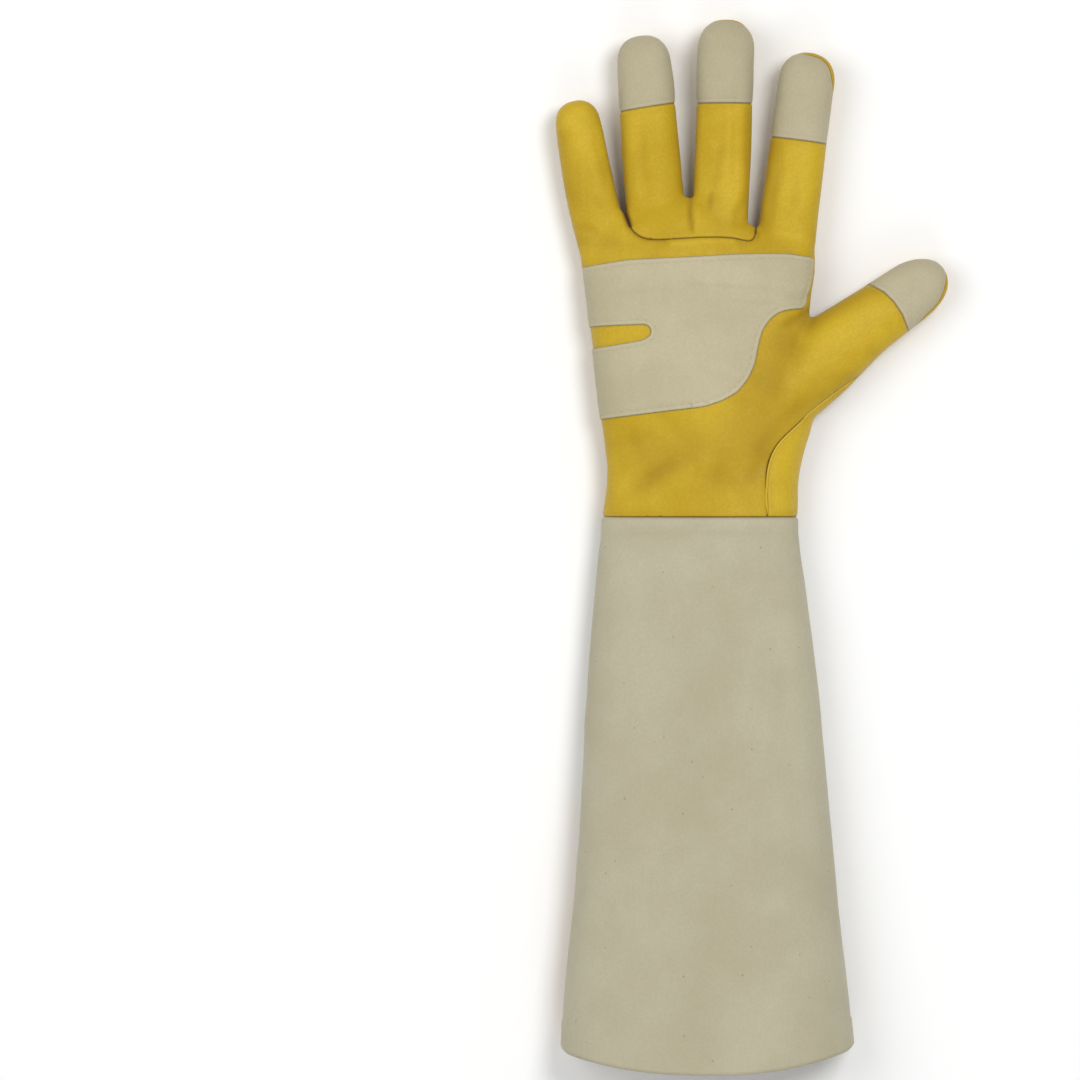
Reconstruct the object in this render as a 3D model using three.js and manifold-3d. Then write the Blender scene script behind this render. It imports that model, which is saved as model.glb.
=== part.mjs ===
// Long-cuffed pruning glove for the right hand, lying palm up on a table.
//
// Millimetres. +Y runs from the cuff's hem to the fingertips, +X to the thumb side, +Z up out of the palm.
// The origin is the middle of the glove's outline on the table, at table height.
//
// The glove is cut and sewn from thin leather, so the source works the same way. One hollow hand is lofted
// from the tables below, then narrow seam gaps cut it into the panels that the real glove is sewn from.
// The palm patch is a second layer on the palm. The cuff is a flared tube with a vent on the little
// finger side.

import * as THREE from "three";
import { mergeVertices } from "three/addons/utils/BufferGeometryUtils.js";
import Module from "manifold-3d";

const wasm = await Module();
wasm.setup();

// Driving dimensions

const LEATHER = 1.8; // thickness of every hand panel
const CUFF_LEATHER = 1.8;
const PATCH_LEATHER = 1.2;
const SEAM_GAP = 0.3; // clear gap between two panels that are sewn together
const SIDE_LEVEL = 11; // height of the side seams above the table
const STRIP = 7; // width of the strip of leather along the sides of each finger
const WRIST_Y = 12.5; // lower edge of the hand, where it laps over the cuff
const HEM_Y = -226.8; // lowest point of the cuff's curved hem
const HEM_RISE = 11; // how much higher the hem is at the sides than in the middle
const LAP = 6; // how far the cuff reaches up inside the hand
const FINGERTIP_LIFT = 4; // how far the empty fingertips curl up off the table
const LIFT_START_Y = 140;
const LIFT_END_Y = 226.8;
const VENT_TOP_Y = -109;
const VENT_Z = 10; // height of the top of the vent
const VENT_OPENING = 8; // gap between the vent's edges at the hem
const BINDING_WIDTH = 4;
const BINDING_LEATHER = 1;

// Gathers of the elastic across the back of the wrist
const ELASTIC_Y = 33;
const GATHER_REACH = 14; // how far the pleats run above and below the elastic
const GATHER_DEPTH = 2.6; // how far the pleats lift off the table

const HAND_SIDES = 30;
const DIGIT_SIDES = 12;

// Fingers: centre line from the root inside the palm, over the middle joint, to the tip.
// Half is half the width of the finger, up and down its extent above and below the side seam.
const FINGERS = [
  { name: "little", rootX: -58.2, rootY: 108, rootHalf: 11.2, jointX: -69.7, jointY: 153, jointHalf: 10.6,
    tipX: -76.4, tipY: 191.8, tipHalf: 9.8, up: 8.5, down: 10 },
  { name: "ring", rootX: -38.6, rootY: 108, rootHalf: 13, jointX: -43.6, jointY: 170, jointHalf: 12.3,
    tipX: -46.8, tipY: 219.7, tipHalf: 11.4, up: 9.5, down: 10.6 },
  { name: "middle", rootX: -14.9, rootY: 108, rootHalf: 12.4, jointX: -12.1, jointY: 170, jointHalf: 12,
    tipX: -10.6, tipY: 226.8, tipHalf: 12, up: 10, down: 10.6 },
  { name: "index", rootX: 12, rootY: 108, rootHalf: 13, jointX: 19.4, jointY: 167, jointHalf: 12,
    tipX: 25.4, tipY: 212.2, tipHalf: 12, up: 9.8, down: 10.6 },
];

// Thumb: cross sections along its bent centre line, the last one at the tip.
const THUMB = [
  { x: 8, y: 66, half: 20, up: 17, down: 10.6 },
  { x: 30, y: 80, half: 18.2, up: 14.5, down: 10.6 },
  { x: 49, y: 94.4, half: 14.4, up: 12, down: 10.2 },
  { x: 59.3, y: 102.6, half: 13.2, up: 11, down: 10 },
  { x: 82, y: 119, half: 12.2, up: 10, down: 9.4 },
];

// Palm and wrist: sections across the hand, from the wrist edge up to the finger roots.
const PALM = [
  { y: WRIST_Y, left: -63.6, right: 20.2, top: 30.5 },
  { y: 19, left: -63.1, right: 20.2, top: 29.6 },
  { y: 25, left: -62.8, right: 20.2, top: 29 },
  { y: ELASTIC_Y, left: -62.6, right: 21.2, top: 28.5 },
  { y: 42, left: -63.4, right: 23.2, top: 29 },
  { y: 55, left: -64.9, right: 26.6, top: 30 },
  { y: 70, left: -66.2, right: 28, top: 31 },
  { y: 84, left: -67.9, right: 27.6, top: 31 },
  { y: 97, left: -69.6, right: 25, top: 29.5 },
];

// The web between the fingers: how far up the hand it reaches on the palm side.
const WEB = [
  { x: -78, y: 139 },
  { x: -56, y: 146.6 },
  { x: -27, y: 147.9 },
  { x: 1.7, y: 138 },
  { x: 14, y: 140 },
  { x: 28, y: 135 },
];
const WEB_TOP = 15; // height of the web's edge on the palm side
const WEB_SLOPE = 1.5; // the web falls back towards the wrist by this much for each mm nearer the table

// Knuckles: sections that follow the web at some distance behind it. Slope is their share of its fall.
const KNUCKLES = [
  { behind: 22, left: -72.4, right: 26.4, top: 27, slope: 0.45 },
  { behind: 10, left: -75, right: 27.8, top: 23.6, slope: 0.8 },
  { behind: 4, left: -74.6, right: 27.6, top: 21, slope: 1 },
  { behind: 1, left: -73, right: 26, top: 18.2, slope: 1 },
  { behind: 0, left: -71, right: 24, top: 15.4, slope: 1 },
];

// Cuff: sections from just below the hand down to the hem. Its lap inside the hand is worked out below.
const CUFF = [
  { y: WRIST_Y - 7, left: -64, right: 20.6, top: 30 },
  { y: -6, left: -64.8, right: 22, top: 31 },
  { y: -66, left: -69.6, right: 29.6, top: 37 },
  { y: VENT_TOP_Y, left: -72.6, right: 33.6, top: 41.5 },
  { y: -150, left: -75.6, right: 37.6, top: 45 },
  { y: -191, left: -79.4, right: 41.4, top: 49 },
  { y: HEM_Y, left: -82, right: 44.2, top: 51.5 },
];

// Seams that cross a panel, drawn as they lie seen from above.
const FINGER_FRONT_SEAM = [
  { x: -58, y: 152 }, { x: -54.4, y: 143 }, { x: -52, y: 137 }, { x: -49.5, y: 134 },
  { x: -45.6, y: 132 }, { x: -39, y: 131.6 }, { x: -22, y: 132.8 }, { x: -9, y: 132.8 },
  { x: -2.6, y: 131.4 }, { x: 0.4, y: 131.2 }, { x: 2.2, y: 134 }, { x: 2.8, y: 145 },
];
const GUSSET_FRONT_SEAM = [
  { x: 7.8, y: 5 }, { x: 6.4, y: 28 }, { x: 7.2, y: 34.4 }, { x: 8.6, y: 38.6 }, { x: 10.6, y: 42.6 },
  { x: 13.8, y: 46.4 }, { x: 22, y: 53.8 }, { x: 25.2, y: 57 }, { x: 29.7, y: 60.8 }, { x: 37, y: 66.4 },
  { x: 44, y: 71.4 }, { x: 50, y: 74.6 },
];
const BACK_EDGE_SEAM = [
  { x: 17.2, y: 5 }, { x: 17.4, y: 24 }, { x: 20, y: 36 }, { x: 22.6, y: 48 }, { x: 25.2, y: 66 },
  { x: 26.4, y: 84 }, { x: 27.2, y: 96 }, { x: 25, y: 108 },
];
const THUMB_BACK_SEAM = [
  { x: 25, y: 96 }, { x: 33, y: 90 }, { x: 39, y: 84 }, { x: 44, y: 76 }, { x: 49, y: 65 },
];
// Lower edge of each fingertip panel: where it crosses the centre line, and its slope.
const TIP_EDGES = [
  { x: -45.2, y: 188.7, slope: 0.16, half: 14, outerSide: 0 },
  { x: -11.3, y: 190.5, slope: 0, half: 14, outerSide: 0 },
  { x: 20.4, y: 174.6, slope: -0.13, half: 14, outerSide: 1 },
];
const THUMB_TIP_EDGE = [{ x: 46, y: 118.6 }, { x: 59.3, y: 102.6 }, { x: 71.6, y: 87.8 }];

// The open ground between two fingers: the fork, and a point beyond the fingertips.
const GAPS = [
  { forkX: -56, forkY: 146.6, farX: -62.5, farY: 232 },
  { forkX: -27, forkY: 147.9, farX: -29, farY: 232 },
  { forkX: 1.7, forkY: 138, farX: 8, farY: 232 },
];

// The palm patch: its outline seen from above, with the finger-shaped notch on the little finger side.
const PALM_PATCH = [
  { x: -90, y: 118 }, { x: -72, y: 120 }, { x: -52, y: 123 }, { x: -26, y: 124.3 }, { x: 4, y: 125.6 },
  { x: 16.8, y: 125.6 }, { x: 26, y: 124.2 }, { x: 24.6, y: 114 }, { x: 22.2, y: 102 }, { x: 16.8, y: 101.5 },
  { x: 12, y: 100.4 }, { x: 8.2, y: 97.6 }, { x: 4.8, y: 92.8 }, { x: 3, y: 86.4 }, { x: 1.4, y: 78 },
  { x: -1.6, y: 71.4 }, { x: -6, y: 66 }, { x: -12.4, y: 62.4 }, { x: -20, y: 59.8 }, { x: -40, y: 57.4 },
  { x: -65, y: 54.3 }, { x: -90, y: 51 }, { x: -90, y: 82.4 }, { x: -68.6, y: 84.8 }, { x: -47, y: 88.2 },
  { x: -43.8, y: 89.8 }, { x: -42.8, y: 91.8 }, { x: -43.6, y: 93.8 }, { x: -45.4, y: 95 },
  { x: -69.4, y: 94.2 }, { x: -90, y: 93.6 },
];

// Small helpers

const clamp01 = (t) => Math.min(1, Math.max(0, t));
const mix = (a, b, t) => a + (b - a) * t;

// Reads one column of a table at any place along another column.
function along(table, key, at, column) {
  const rows = [...table].sort((a, b) => a[key] - b[key]);
  const after = rows.findIndex((row) => row[key] > at);
  if (after === 0) return rows[0][column];
  if (after < 0) return rows[rows.length - 1][column];
  const [low, high] = [rows[after - 1], rows[after]];
  return mix(low[column], high[column], (at - low[key]) / (high[key] - low[key]));
}

// A point on a flattened oval: squareness 2 is an ellipse, and more is boxier.
function ovalPoint(angle, half, up, down, squareness) {
  const bend = (v) => Math.sign(v) * Math.abs(v) ** (2 / squareness);
  const side = half * bend(Math.cos(angle));
  const height = (Math.sin(angle) > 0 ? up : down) * bend(Math.sin(angle));
  return { side, height };
}

// Turns rings of points into one closed solid, with a fan over each end.
function loft(rings) {
  const sides = rings[0].length;
  const middle = (ring) => ring.reduce((sum, p) => sum.add(p), new THREE.Vector3()).divideScalar(sides);
  const points = [middle(rings[0]), ...rings.flat(), middle(rings[rings.length - 1])];
  const last = points.length - 1;
  const index = [];
  for (let i = 0; i < sides; i++) {
    const next = (i + 1) % sides;
    index.push(0, 1 + i, 1 + next);
    for (let r = 0; r < rings.length - 1; r++) {
      const [low, high] = [1 + r * sides, 1 + (r + 1) * sides];
      index.push(low + i, high + next, low + next, low + i, high + i, high + next);
    }
    index.push(last, last - sides + next, last - sides + i);
  }
  const geometry = new THREE.BufferGeometry().setFromPoints(points);
  geometry.setIndex(index);
  return solid(geometry);
}

// A closed three.js geometry as a solid that can be joined and cut.
function solid(geometry) {
  const bare = new THREE.BufferGeometry();
  bare.setAttribute("position", geometry.getAttribute("position"));
  bare.setIndex(geometry.getIndex());
  const merged = mergeVertices(bare, 1e-4);
  const mesh = new wasm.Mesh({
    numProp: 3,
    vertProperties: new Float32Array(merged.getAttribute("position").array),
    triVerts: new Uint32Array(merged.getIndex().array),
  });
  return new wasm.Manifold(mesh);
}

// An outline seen from above, as a block between two heights.
function block(outline, low, high) {
  const shape = new THREE.Shape(outline.map((p) => new THREE.Vector2(p.x, p.y)));
  const geometry = new THREE.ExtrudeGeometry(shape, { depth: high - low, bevelEnabled: false });
  return solid(geometry.translate(0, 0, low));
}

// An outline seen from the side, drawn with y and z, as a block between two places across the hand.
function sideBlock(outline, fromX, toX) {
  const shape = new THREE.Shape(outline.map((p) => new THREE.Vector2(p.y, p.z)));
  const geometry = new THREE.ExtrudeGeometry(shape, { depth: toX - fromX, bevelEnabled: false });
  const stand = new THREE.Matrix4().set(0, 0, 1, fromX, 1, 0, 0, 0, 0, 1, 0, 0, 0, 0, 0, 1);
  return solid(geometry.applyMatrix4(stand));
}

// A seam across a panel: a narrow gap that follows a line seen from above.
function seamAcross(line, low, high = 60) {
  const edge = (side) =>
    line.map((p, i) => {
      const before = line[Math.max(i - 1, 0)];
      const after = line[Math.min(i + 1, line.length - 1)];
      const run = new THREE.Vector2(after.x - before.x, after.y - before.y).normalize();
      return { x: p.x - run.y * side * SEAM_GAP * 0.5, y: p.y + run.x * side * SEAM_GAP * 0.5 };
    });
  return block([...edge(1), ...edge(-1).reverse()], low, high);
}

// A seam along the hand: a narrow gap at a height that changes with y, only over the region seen from above.
function seamAlong(heightAt, stops, region) {
  const top = stops.map((y) => ({ y, z: heightAt(y) + SEAM_GAP / 2 }));
  const bottom = stops.map((y) => ({ y, z: heightAt(y) - SEAM_GAP / 2 }));
  return sideBlock([...top, ...bottom.reverse()], -120, 120).intersect(block(region, -5, 60));
}

// The hand

// The height of the middle of the fingers' sides. The empty fingertips curl up off the table.
const lift = (y) => FINGERTIP_LIFT * clamp01((y - LIFT_START_Y) / (LIFT_END_Y - LIFT_START_Y)) ** 2;
const levelAt = (y) => SIDE_LEVEL + lift(y);

// One cross section of a digit, square to its centre line and never below the table.
// Shrink makes the whole hand thinner all round, for its hollow, or fatter where it is negative.
function digitRing(centre, direction, section, scale, shrink) {
  const across = new THREE.Vector3(direction.y, -direction.x, 0);
  const ring = [];
  for (let i = 0; i < DIGIT_SIDES; i++) {
    const angle = ((i + 0.5) / DIGIT_SIDES) * Math.PI * 2;
    const sizes = [section.half, section.up, section.down].map((size) => (size - shrink) * scale);
    const { side, height } = ovalPoint(angle, ...sizes, 2.3);
    const point = centre.clone().addScaledVector(across, side);
    point.z = Math.max(centre.z + height, shrink);
    ring.push(point);
  }
  return ring;
}

// A finger or thumb: straight stretches between its sections, then a round tip.
function digit(sections, tipLength, shrink) {
  const tip = sections[sections.length - 1];
  const before = sections[sections.length - 2];
  const tipRun = new THREE.Vector3(tip.x - before.x, tip.y - before.y, 0).normalize();
  const tipStart = { ...tip, x: tip.x - tipRun.x * tipLength, y: tip.y - tipRun.y * tipLength };
  const stations = [...sections.slice(0, -1), tipStart];
  const centreOf = (p) => new THREE.Vector3(p.x, p.y, levelAt(p.y));
  const rings = stations.map((section, i) => {
    const ahead = stations[Math.min(i + 1, stations.length - 1)];
    const behind = stations[Math.max(i - 1, 0)];
    const run = new THREE.Vector3(ahead.x - behind.x, ahead.y - behind.y, 0).normalize();
    return digitRing(centreOf(section), run, section, 1, shrink);
  });
  for (const degrees of [30, 54, 74]) {
    const angle = THREE.MathUtils.degToRad(degrees);
    const reach = (tipLength - shrink) * Math.sin(angle) ** 0.9;
    const centre = centreOf({ x: tipStart.x + tipRun.x * reach, y: tipStart.y + tipRun.y * reach });
    rings.push(digitRing(centre, tipRun, tip, Math.cos(angle) ** 0.8, shrink));
  }
  return loft(rings);
}

function fingerSections(finger) {
  const { up, down } = finger;
  const root = { x: finger.rootX, y: finger.rootY, half: finger.rootHalf, up, down };
  const joint = { x: finger.jointX, y: finger.jointY, half: finger.jointHalf, up, down };
  const tip = { x: finger.tipX, y: finger.tipY, half: finger.tipHalf, up, down };
  const between = (a, b, t) => {
    return { x: mix(a.x, b.x, t), y: mix(a.y, b.y, t), half: mix(a.half, b.half, t), up, down };
  };
  return [root, between(root, joint, 0.5), joint, between(joint, tip, 0.4), tip];
}

// How far the pleats of the wrist's gathers lift the back of the hand off the table.
const gather = (y) => GATHER_DEPTH * clamp01(1 - Math.abs(y - ELASTIC_Y) / GATHER_REACH);

// One section across the palm or cuff. Below the side seam it flattens out on the table.
function sheetRing(section, shrink, yAt) {
  const { left, right, top } = section;
  const ring = [];
  for (let i = 0; i < HAND_SIDES; i++) {
    const angle = ((i + 0.5) / HAND_SIDES) * Math.PI * 2;
    const half = (right - left) / 2 - shrink;
    const { side, height } = ovalPoint(angle, half, top - SIDE_LEVEL - shrink, SIDE_LEVEL + 2 - shrink, 2.5);
    const point = new THREE.Vector3((left + right) / 2 + side, 0, Math.max(SIDE_LEVEL + height, shrink));
    point.y = yAt(point);
    ring.push(point);
  }
  return ring;
}

function palm(shrink) {
  const rings = PALM.map((section) => sheetRing(section, shrink, () => section.y));
  // Every second point across the back makes the crest of a pleat.
  PALM.forEach((section, i) => {
    rings[i].forEach((point, k) => (point.z += k % 2 && point.z < SIDE_LEVEL - 3 ? gather(section.y) : 0));
  });
  // The hollow runs out through the wrist.
  if (shrink > 0) rings.unshift(sheetRing(PALM[0], shrink, () => WRIST_Y - 10));
  const fall = Math.hypot(1, WEB_SLOPE);
  const webAt = (p, { behind, slope }) =>
    along(WEB, "x", p.x, "y") - behind - shrink * fall - slope * WEB_SLOPE * Math.max(0, WEB_TOP - p.z);
  for (const knuckle of KNUCKLES) rings.push(sheetRing(knuckle, shrink, (p) => webAt(p, knuckle)));
  // The web itself: the last section drawn together to a slit at mid height.
  const last = KNUCKLES[KNUCKLES.length - 1];
  const slit = rings[rings.length - 1].map((p) => new THREE.Vector3(p.x, 0, mix(SIDE_LEVEL - 2, p.z, 0.05)));
  rings.push(slit.map((p) => p.setY(webAt(p, last))));
  return loft(rings);
}

function hand(shrink) {
  const fingers = FINGERS.map((finger) => digit(fingerSections(finger), finger.tipHalf + 1, shrink));
  return fingers.reduce((whole, finger) => whole.add(finger), palm(shrink)).add(digit(THUMB, 15, shrink));
}

// The seams, as narrow gaps cut out of the hollow hand

// The ground seen from above between a finger's centre line and the open gap on one side of it.
function besideFinger(finger, gap) {
  const tip = { x: finger.tipX + (finger.tipX - finger.jointX) * 0.1, y: finger.tipY + 4 };
  const fork = { x: gap.forkX, y: gap.forkY };
  const outer = { x: mix(gap.forkX, gap.farX, (tip.y - fork.y) / (gap.farY - fork.y)), y: tip.y };
  const root = { x: finger.rootX, y: finger.rootY };
  return [root, { x: finger.jointX, y: finger.jointY }, tip, outer, fork, { x: fork.x, y: root.y }];
}

// Half the height of the strip along a finger. It narrows to nothing round the fingertip.
const stripHalf = (finger, y) => (STRIP / 2) * clamp01((finger.tipY - 2 - y) / 13);

function stripSeams() {
  const seams = [];
  GAPS.forEach((gap, i) => {
    for (const finger of [FINGERS[i], FINGERS[i + 1]]) {
      const region = besideFinger(finger, gap);
      const edge = TIP_EDGES[FINGERS.indexOf(finger) - 1];
      const side = Math.sign(gap.forkX - finger.jointX);
      const { tipY } = finger;
      const stops = [finger.rootY, 140, 160, 180, 200, 210, 220].filter((y) => y < tipY - 16);
      stops.push(tipY - 15, tipY - 8, tipY - 2, tipY + 5);
      seams.push(seamAlong((y) => levelAt(y) - stripHalf(finger, y), stops, region));
      // The upper seam of the strip ends at the fingertip panel, where there is one.
      const endY = edge ? edge.y + edge.slope * side * finger.tipHalf + SEAM_GAP * 2 : tipY + 5;
      const upperStops = [...stops.filter((y) => y < endY - 1), endY];
      seams.push(seamAlong((y) => levelAt(y) + stripHalf(finger, y), upperStops, region));
    }
  });
  return seams;
}

function sideSeams() {
  const [little, index] = [FINGERS[0], FINGERS[FINGERS.length - 1]];
  const stops = [-5, 100, 140, 155, 170, 185, 200, 215, 232];
  const littleSide = [
    { x: -120, y: -5 }, { x: -40, y: -5 }, { x: little.rootX, y: little.rootY },
    { x: little.jointX, y: little.jointY }, { x: little.tipX - 0.6, y: little.tipY + 5 },
    { x: -120, y: little.tipY + 5 },
  ];
  const indexSide = [
    { x: index.rootX, y: 100 }, { x: 30, y: 85 }, { x: 50, y: 62 }, { x: 120, y: 62 }, { x: 120, y: 220 },
    { x: index.tipX + 0.6, y: 220 }, { x: index.jointX, y: index.jointY }, { x: index.rootX, y: index.rootY },
  ];
  return [seamAlong(levelAt, stops, littleSide), seamAlong(levelAt, stops, indexSide)];
}

function tipSeams() {
  const seams = TIP_EDGES.map(({ x, y, slope, half, outerSide }) => {
    const low = levelAt(y) - STRIP / 2;
    const at = (along) => ({ x: x + along, y: y + along * slope });
    if (!outerSide) return seamAcross([at(-half), at(half)], low);
    return seamAcross([at(-half), at(0)], low).add(seamAcross([at(-0.1), at(half)], levelAt(y)));
  });
  return [...seams, seamAcross(THUMB_TIP_EDGE, SIDE_LEVEL)];
}

const seams = [
  ...stripSeams(),
  ...sideSeams(),
  ...tipSeams(),
  seamAcross(FINGER_FRONT_SEAM, SIDE_LEVEL + STRIP / 2),
  seamAcross(GUSSET_FRONT_SEAM, SIDE_LEVEL),
  seamAcross(BACK_EDGE_SEAM, -5, SIDE_LEVEL),
  seamAcross(THUMB_BACK_SEAM, -5, SIDE_LEVEL),
];
const panels = seams.reduce((left, seam) => left.subtract(seam), hand(0).subtract(hand(LEATHER))).decompose();

// Every panel by a point in its leather. The panel is the body that fills most of a small cube there.
const PANELS = [
  { name: "back_panel", x: -20, y: 90, z: 1 },
  { name: "palm_panel", x: -20, y: 42, z: 28 },
  { name: "middle_ring_front", x: -12, y: 160, z: 20.4 },
  { name: "fourchette_little_ring", x: -56, y: 144, z: 11 },
  { name: "fourchette_ring_middle", x: -27, y: 145, z: 11 },
  { name: "fourchette_middle_index", x: 1.7, y: 135, z: 11 },
  { name: "tip_patch_ring", x: -46.4, y: 205, z: 21.7, cream: true },
  { name: "tip_patch_middle", x: -11, y: 210, z: 22.6, cream: true },
  { name: "tip_patch_index", x: 23.5, y: 196, z: 21.5, cream: true },
  { name: "tip_patch_thumb", x: 72, y: 112, z: 20.5, cream: true },
  { name: "thumb_back", x: 60, y: 103, z: 1.9 },
  { name: "side_gusset", x: 19.4, y: 22, z: 11 },
];

function panelAt({ x, y, z }) {
  const cube = solid(new THREE.BoxGeometry(4, 4, 4).translate(x, y, z));
  const filled = panels.map((panel) => panel.intersect(cube).volume());
  return panels[filled.indexOf(Math.max(...filled))];
}

// The palm patch: a second skin on the palm, cut to its outline above the side seams.
function palmPatch() {
  const skin = hand(-SEAM_GAP - PATCH_LEATHER).subtract(hand(-SEAM_GAP));
  return skin.intersect(block(PALM_PATCH, SIDE_LEVEL + 1, 60));
}

// The cuff and its vent

function cuffSolid(shrink) {
  // The lap follows the inside of the hand, so it takes the palm's own sections.
  const lap = [WRIST_Y - 0.5, WRIST_Y + LAP].map((y) => {
    const at = (column) => along(PALM, "y", y, column);
    return { y, left: at("left"), right: at("right"), top: at("top"), inset: LEATHER + SEAM_GAP };
  });
  const sections = [...CUFF].reverse().concat(lap);
  const rings = sections.map((section, i) => {
    const centre = (section.left + section.right) / 2;
    const half = (section.right - section.left) / 2;
    const rise = i === 0 ? HEM_RISE : 0;
    const hemAt = (p) => section.y + rise * ((p.x - centre) / half) ** 2;
    return sheetRing(section, shrink + (section.inset ?? 0), hemAt);
  });
  // The hollow runs out through both ends.
  if (shrink > 0) {
    rings.unshift(rings[0].map((p) => new THREE.Vector3(p.x, p.y - 8, p.z)));
    rings.push(rings[rings.length - 1].map((p) => new THREE.Vector3(p.x, p.y + 8, p.z)));
  }
  return loft(rings);
}

// The vent's opening in the side of the cuff, made wider all round by grow.
function ventWedge(grow) {
  const opening = [
    { y: VENT_TOP_Y + grow * 1.5, z: VENT_Z },
    { y: HEM_Y - 20, z: VENT_Z + VENT_OPENING * 0.4 + grow },
    { y: HEM_Y - 20, z: VENT_Z - VENT_OPENING * 0.6 - grow },
  ];
  const side = [{ x: -100, y: -90 }, { x: -65, y: -90 }, { x: -72, y: -250 }, { x: -100, y: -250 }];
  return sideBlock(opening, -100, -60).intersect(block(side, -5, 60));
}

const glove = new THREE.Group();
const yellow = 0xc4a42f;
const cream = 0xbeb699;
const gold = 0xcf9a1c;

function show(name, made, color) {
  const { vertProperties, triVerts } = made.getMesh();
  const geometry = new THREE.BufferGeometry();
  geometry.setAttribute("position", new THREE.BufferAttribute(new Float32Array(vertProperties), 3));
  geometry.setIndex(new THREE.BufferAttribute(new Uint32Array(triVerts), 1));
  geometry.computeVertexNormals();
  const leather = new THREE.MeshStandardMaterial({ color, roughness: 0.8, metalness: 0 });
  const mesh = new THREE.Mesh(geometry, leather);
  mesh.name = name;
  glove.add(mesh);
}

for (const panel of PANELS) show(panel.name, panelAt(panel), panel.cream ? cream : yellow);
show("palm_patch", palmPatch(), cream);
show("cuff", cuffSolid(0).subtract(cuffSolid(CUFF_LEATHER)).subtract(ventWedge(0)), cream);
const lining = CUFF_LEATHER + SEAM_GAP;
const bindingSkin = cuffSolid(0).intersect(cuffSolid(lining)).subtract(cuffSolid(lining + BINDING_LEATHER));
show("vent_binding", bindingSkin.intersect(ventWedge(BINDING_WIDTH)).subtract(ventWedge(-1)), gold);

export default glove;
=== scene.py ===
# %% [markdown]
# # A long-cuffed pruning glove
# This is a right-hand glove of thin leather, lying palm up on a table. The hand is yellow leather sewn
# from many panels, with cream patches on the palm and on four fingertips. The cuff is one wide sheet of
# cream leather with a vent on the little finger side.
#
# A sewn glove has two things that make it look real: a full, soft body with no hard edges, and crisp
# seams where the panels roll in to meet. So the hand is first made as one soft skin, and only then
# divided into panels along its seams. Sizes are in millimetres while a piece is being modelled, and in
# metres once it is finished.

import math

import bmesh
import bpy
import numpy as np
from mathutils import Matrix, Vector, noise
from mathutils.bvhtree import BVHTree
from mathutils.kdtree import KDTree


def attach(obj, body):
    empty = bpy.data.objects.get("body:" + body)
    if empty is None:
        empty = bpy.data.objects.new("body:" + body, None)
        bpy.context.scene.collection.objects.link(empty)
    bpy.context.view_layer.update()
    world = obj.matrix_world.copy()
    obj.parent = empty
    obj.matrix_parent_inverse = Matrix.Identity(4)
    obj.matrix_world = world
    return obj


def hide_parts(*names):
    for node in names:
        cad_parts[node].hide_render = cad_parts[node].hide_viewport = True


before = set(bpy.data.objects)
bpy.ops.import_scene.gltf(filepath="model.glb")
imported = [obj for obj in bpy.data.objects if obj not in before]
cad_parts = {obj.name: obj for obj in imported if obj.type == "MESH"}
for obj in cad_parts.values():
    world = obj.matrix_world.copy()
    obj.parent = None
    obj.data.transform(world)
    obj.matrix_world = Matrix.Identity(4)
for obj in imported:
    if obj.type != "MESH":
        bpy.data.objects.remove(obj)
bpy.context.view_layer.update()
MM = 0.001

# %% [markdown]
# ## The glove's pattern
# A maker of gloves starts from a pattern. Here it is a few short tables: sections across the palm, a
# centre line for each finger, and the lines of the seams as they lie seen from above. They are close to
# the numbers that the solid model uses, and never more than a millimetre or two from them, so each panel
# lands where its solid is.

# %% Heights, fingers and thumb
# height of the side seams, width of the strips between the fingers, and how square fingers and palm are
SIDE_LEVEL, STRIP = 11.0, 7.0
DIGIT_SQUARENESS, PALM_SQUARENESS = 2.3, 2.5
# where the cuff is sewn on, where its hem is, and how far the hem rises at its two sides
WRIST_Y = 12.5
HEM_Y, HEM_RISE = -226.0, (9.0, 10.6)
# how high the empty fingertips curl up, and over which stretch
LIFT, LIFT_START, LIFT_END = 4.0, 140.0, 226.8
# top of the vent, its height over the table, how far it opens, and where it would be fully open
VENT_TOP_Y, VENT_Z, VENT_OPENING, VENT_FULL_Y = -109.0, 10.0, 8.0, -246.8
# line of the elastic, how far its gathers reach along the hand, and how far they lift the leather
ELASTIC_Y, GATHER_REACH, GATHER_DEPTH = 33.0, 14.0, 2.6

# name, root x, y, half width, joint x, y, half width, tip x, y, half width, height above and below the seam
FINGERS = [
    ("little", -57.2, 108, 11.2, -69.0, 153, 10.6, -76.0, 191.8, 9.8, 8.5, 10.0),
    ("ring", -37.8, 108, 12.7, -42.9, 170, 12.3, -46.9, 219.8, 11.3, 9.5, 10.6),
    ("middle", -14.9, 108, 12.4, -11.8, 170, 12.0, -10.3, 226.5, 11.9, 10.0, 10.6),
    ("index", 12.2, 108, 13.0, 19.8, 167, 12.1, 25.6, 212.2, 12.0, 9.8, 10.6),
]
# x, y, half width, height above and below the seam
THUMB = [
    (8, 66, 20, 17, 10.6),
    (29.8, 80.3, 17.2, 14.5, 10.6),
    (48.7, 94.9, 14.1, 12, 10.2),
    (59.4, 102.6, 13.4, 11, 10),
    (83.2, 119.9, 12.8, 10, 9.4),
]

# %% Sections across the palm, the knuckles and the cuff
# y, left, right, top
PALM = [
    (4, -64.0, 20.6, 30.8),
    (WRIST_Y, -63.6, 20.2, 30.5),
    (19, -62.7, 20.2, 29.6),
    (25, -62.0, 20.2, 29),
    (33, -61.7, 20.9, 28.5),
    (42, -62.5, 22.8, 29),
    (55, -64.3, 26.6, 30),
    (70, -66.1, 28, 31),
    (84, -67.8, 27.6, 31),
    (97, -69.4, 25, 29.5),
]
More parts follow.
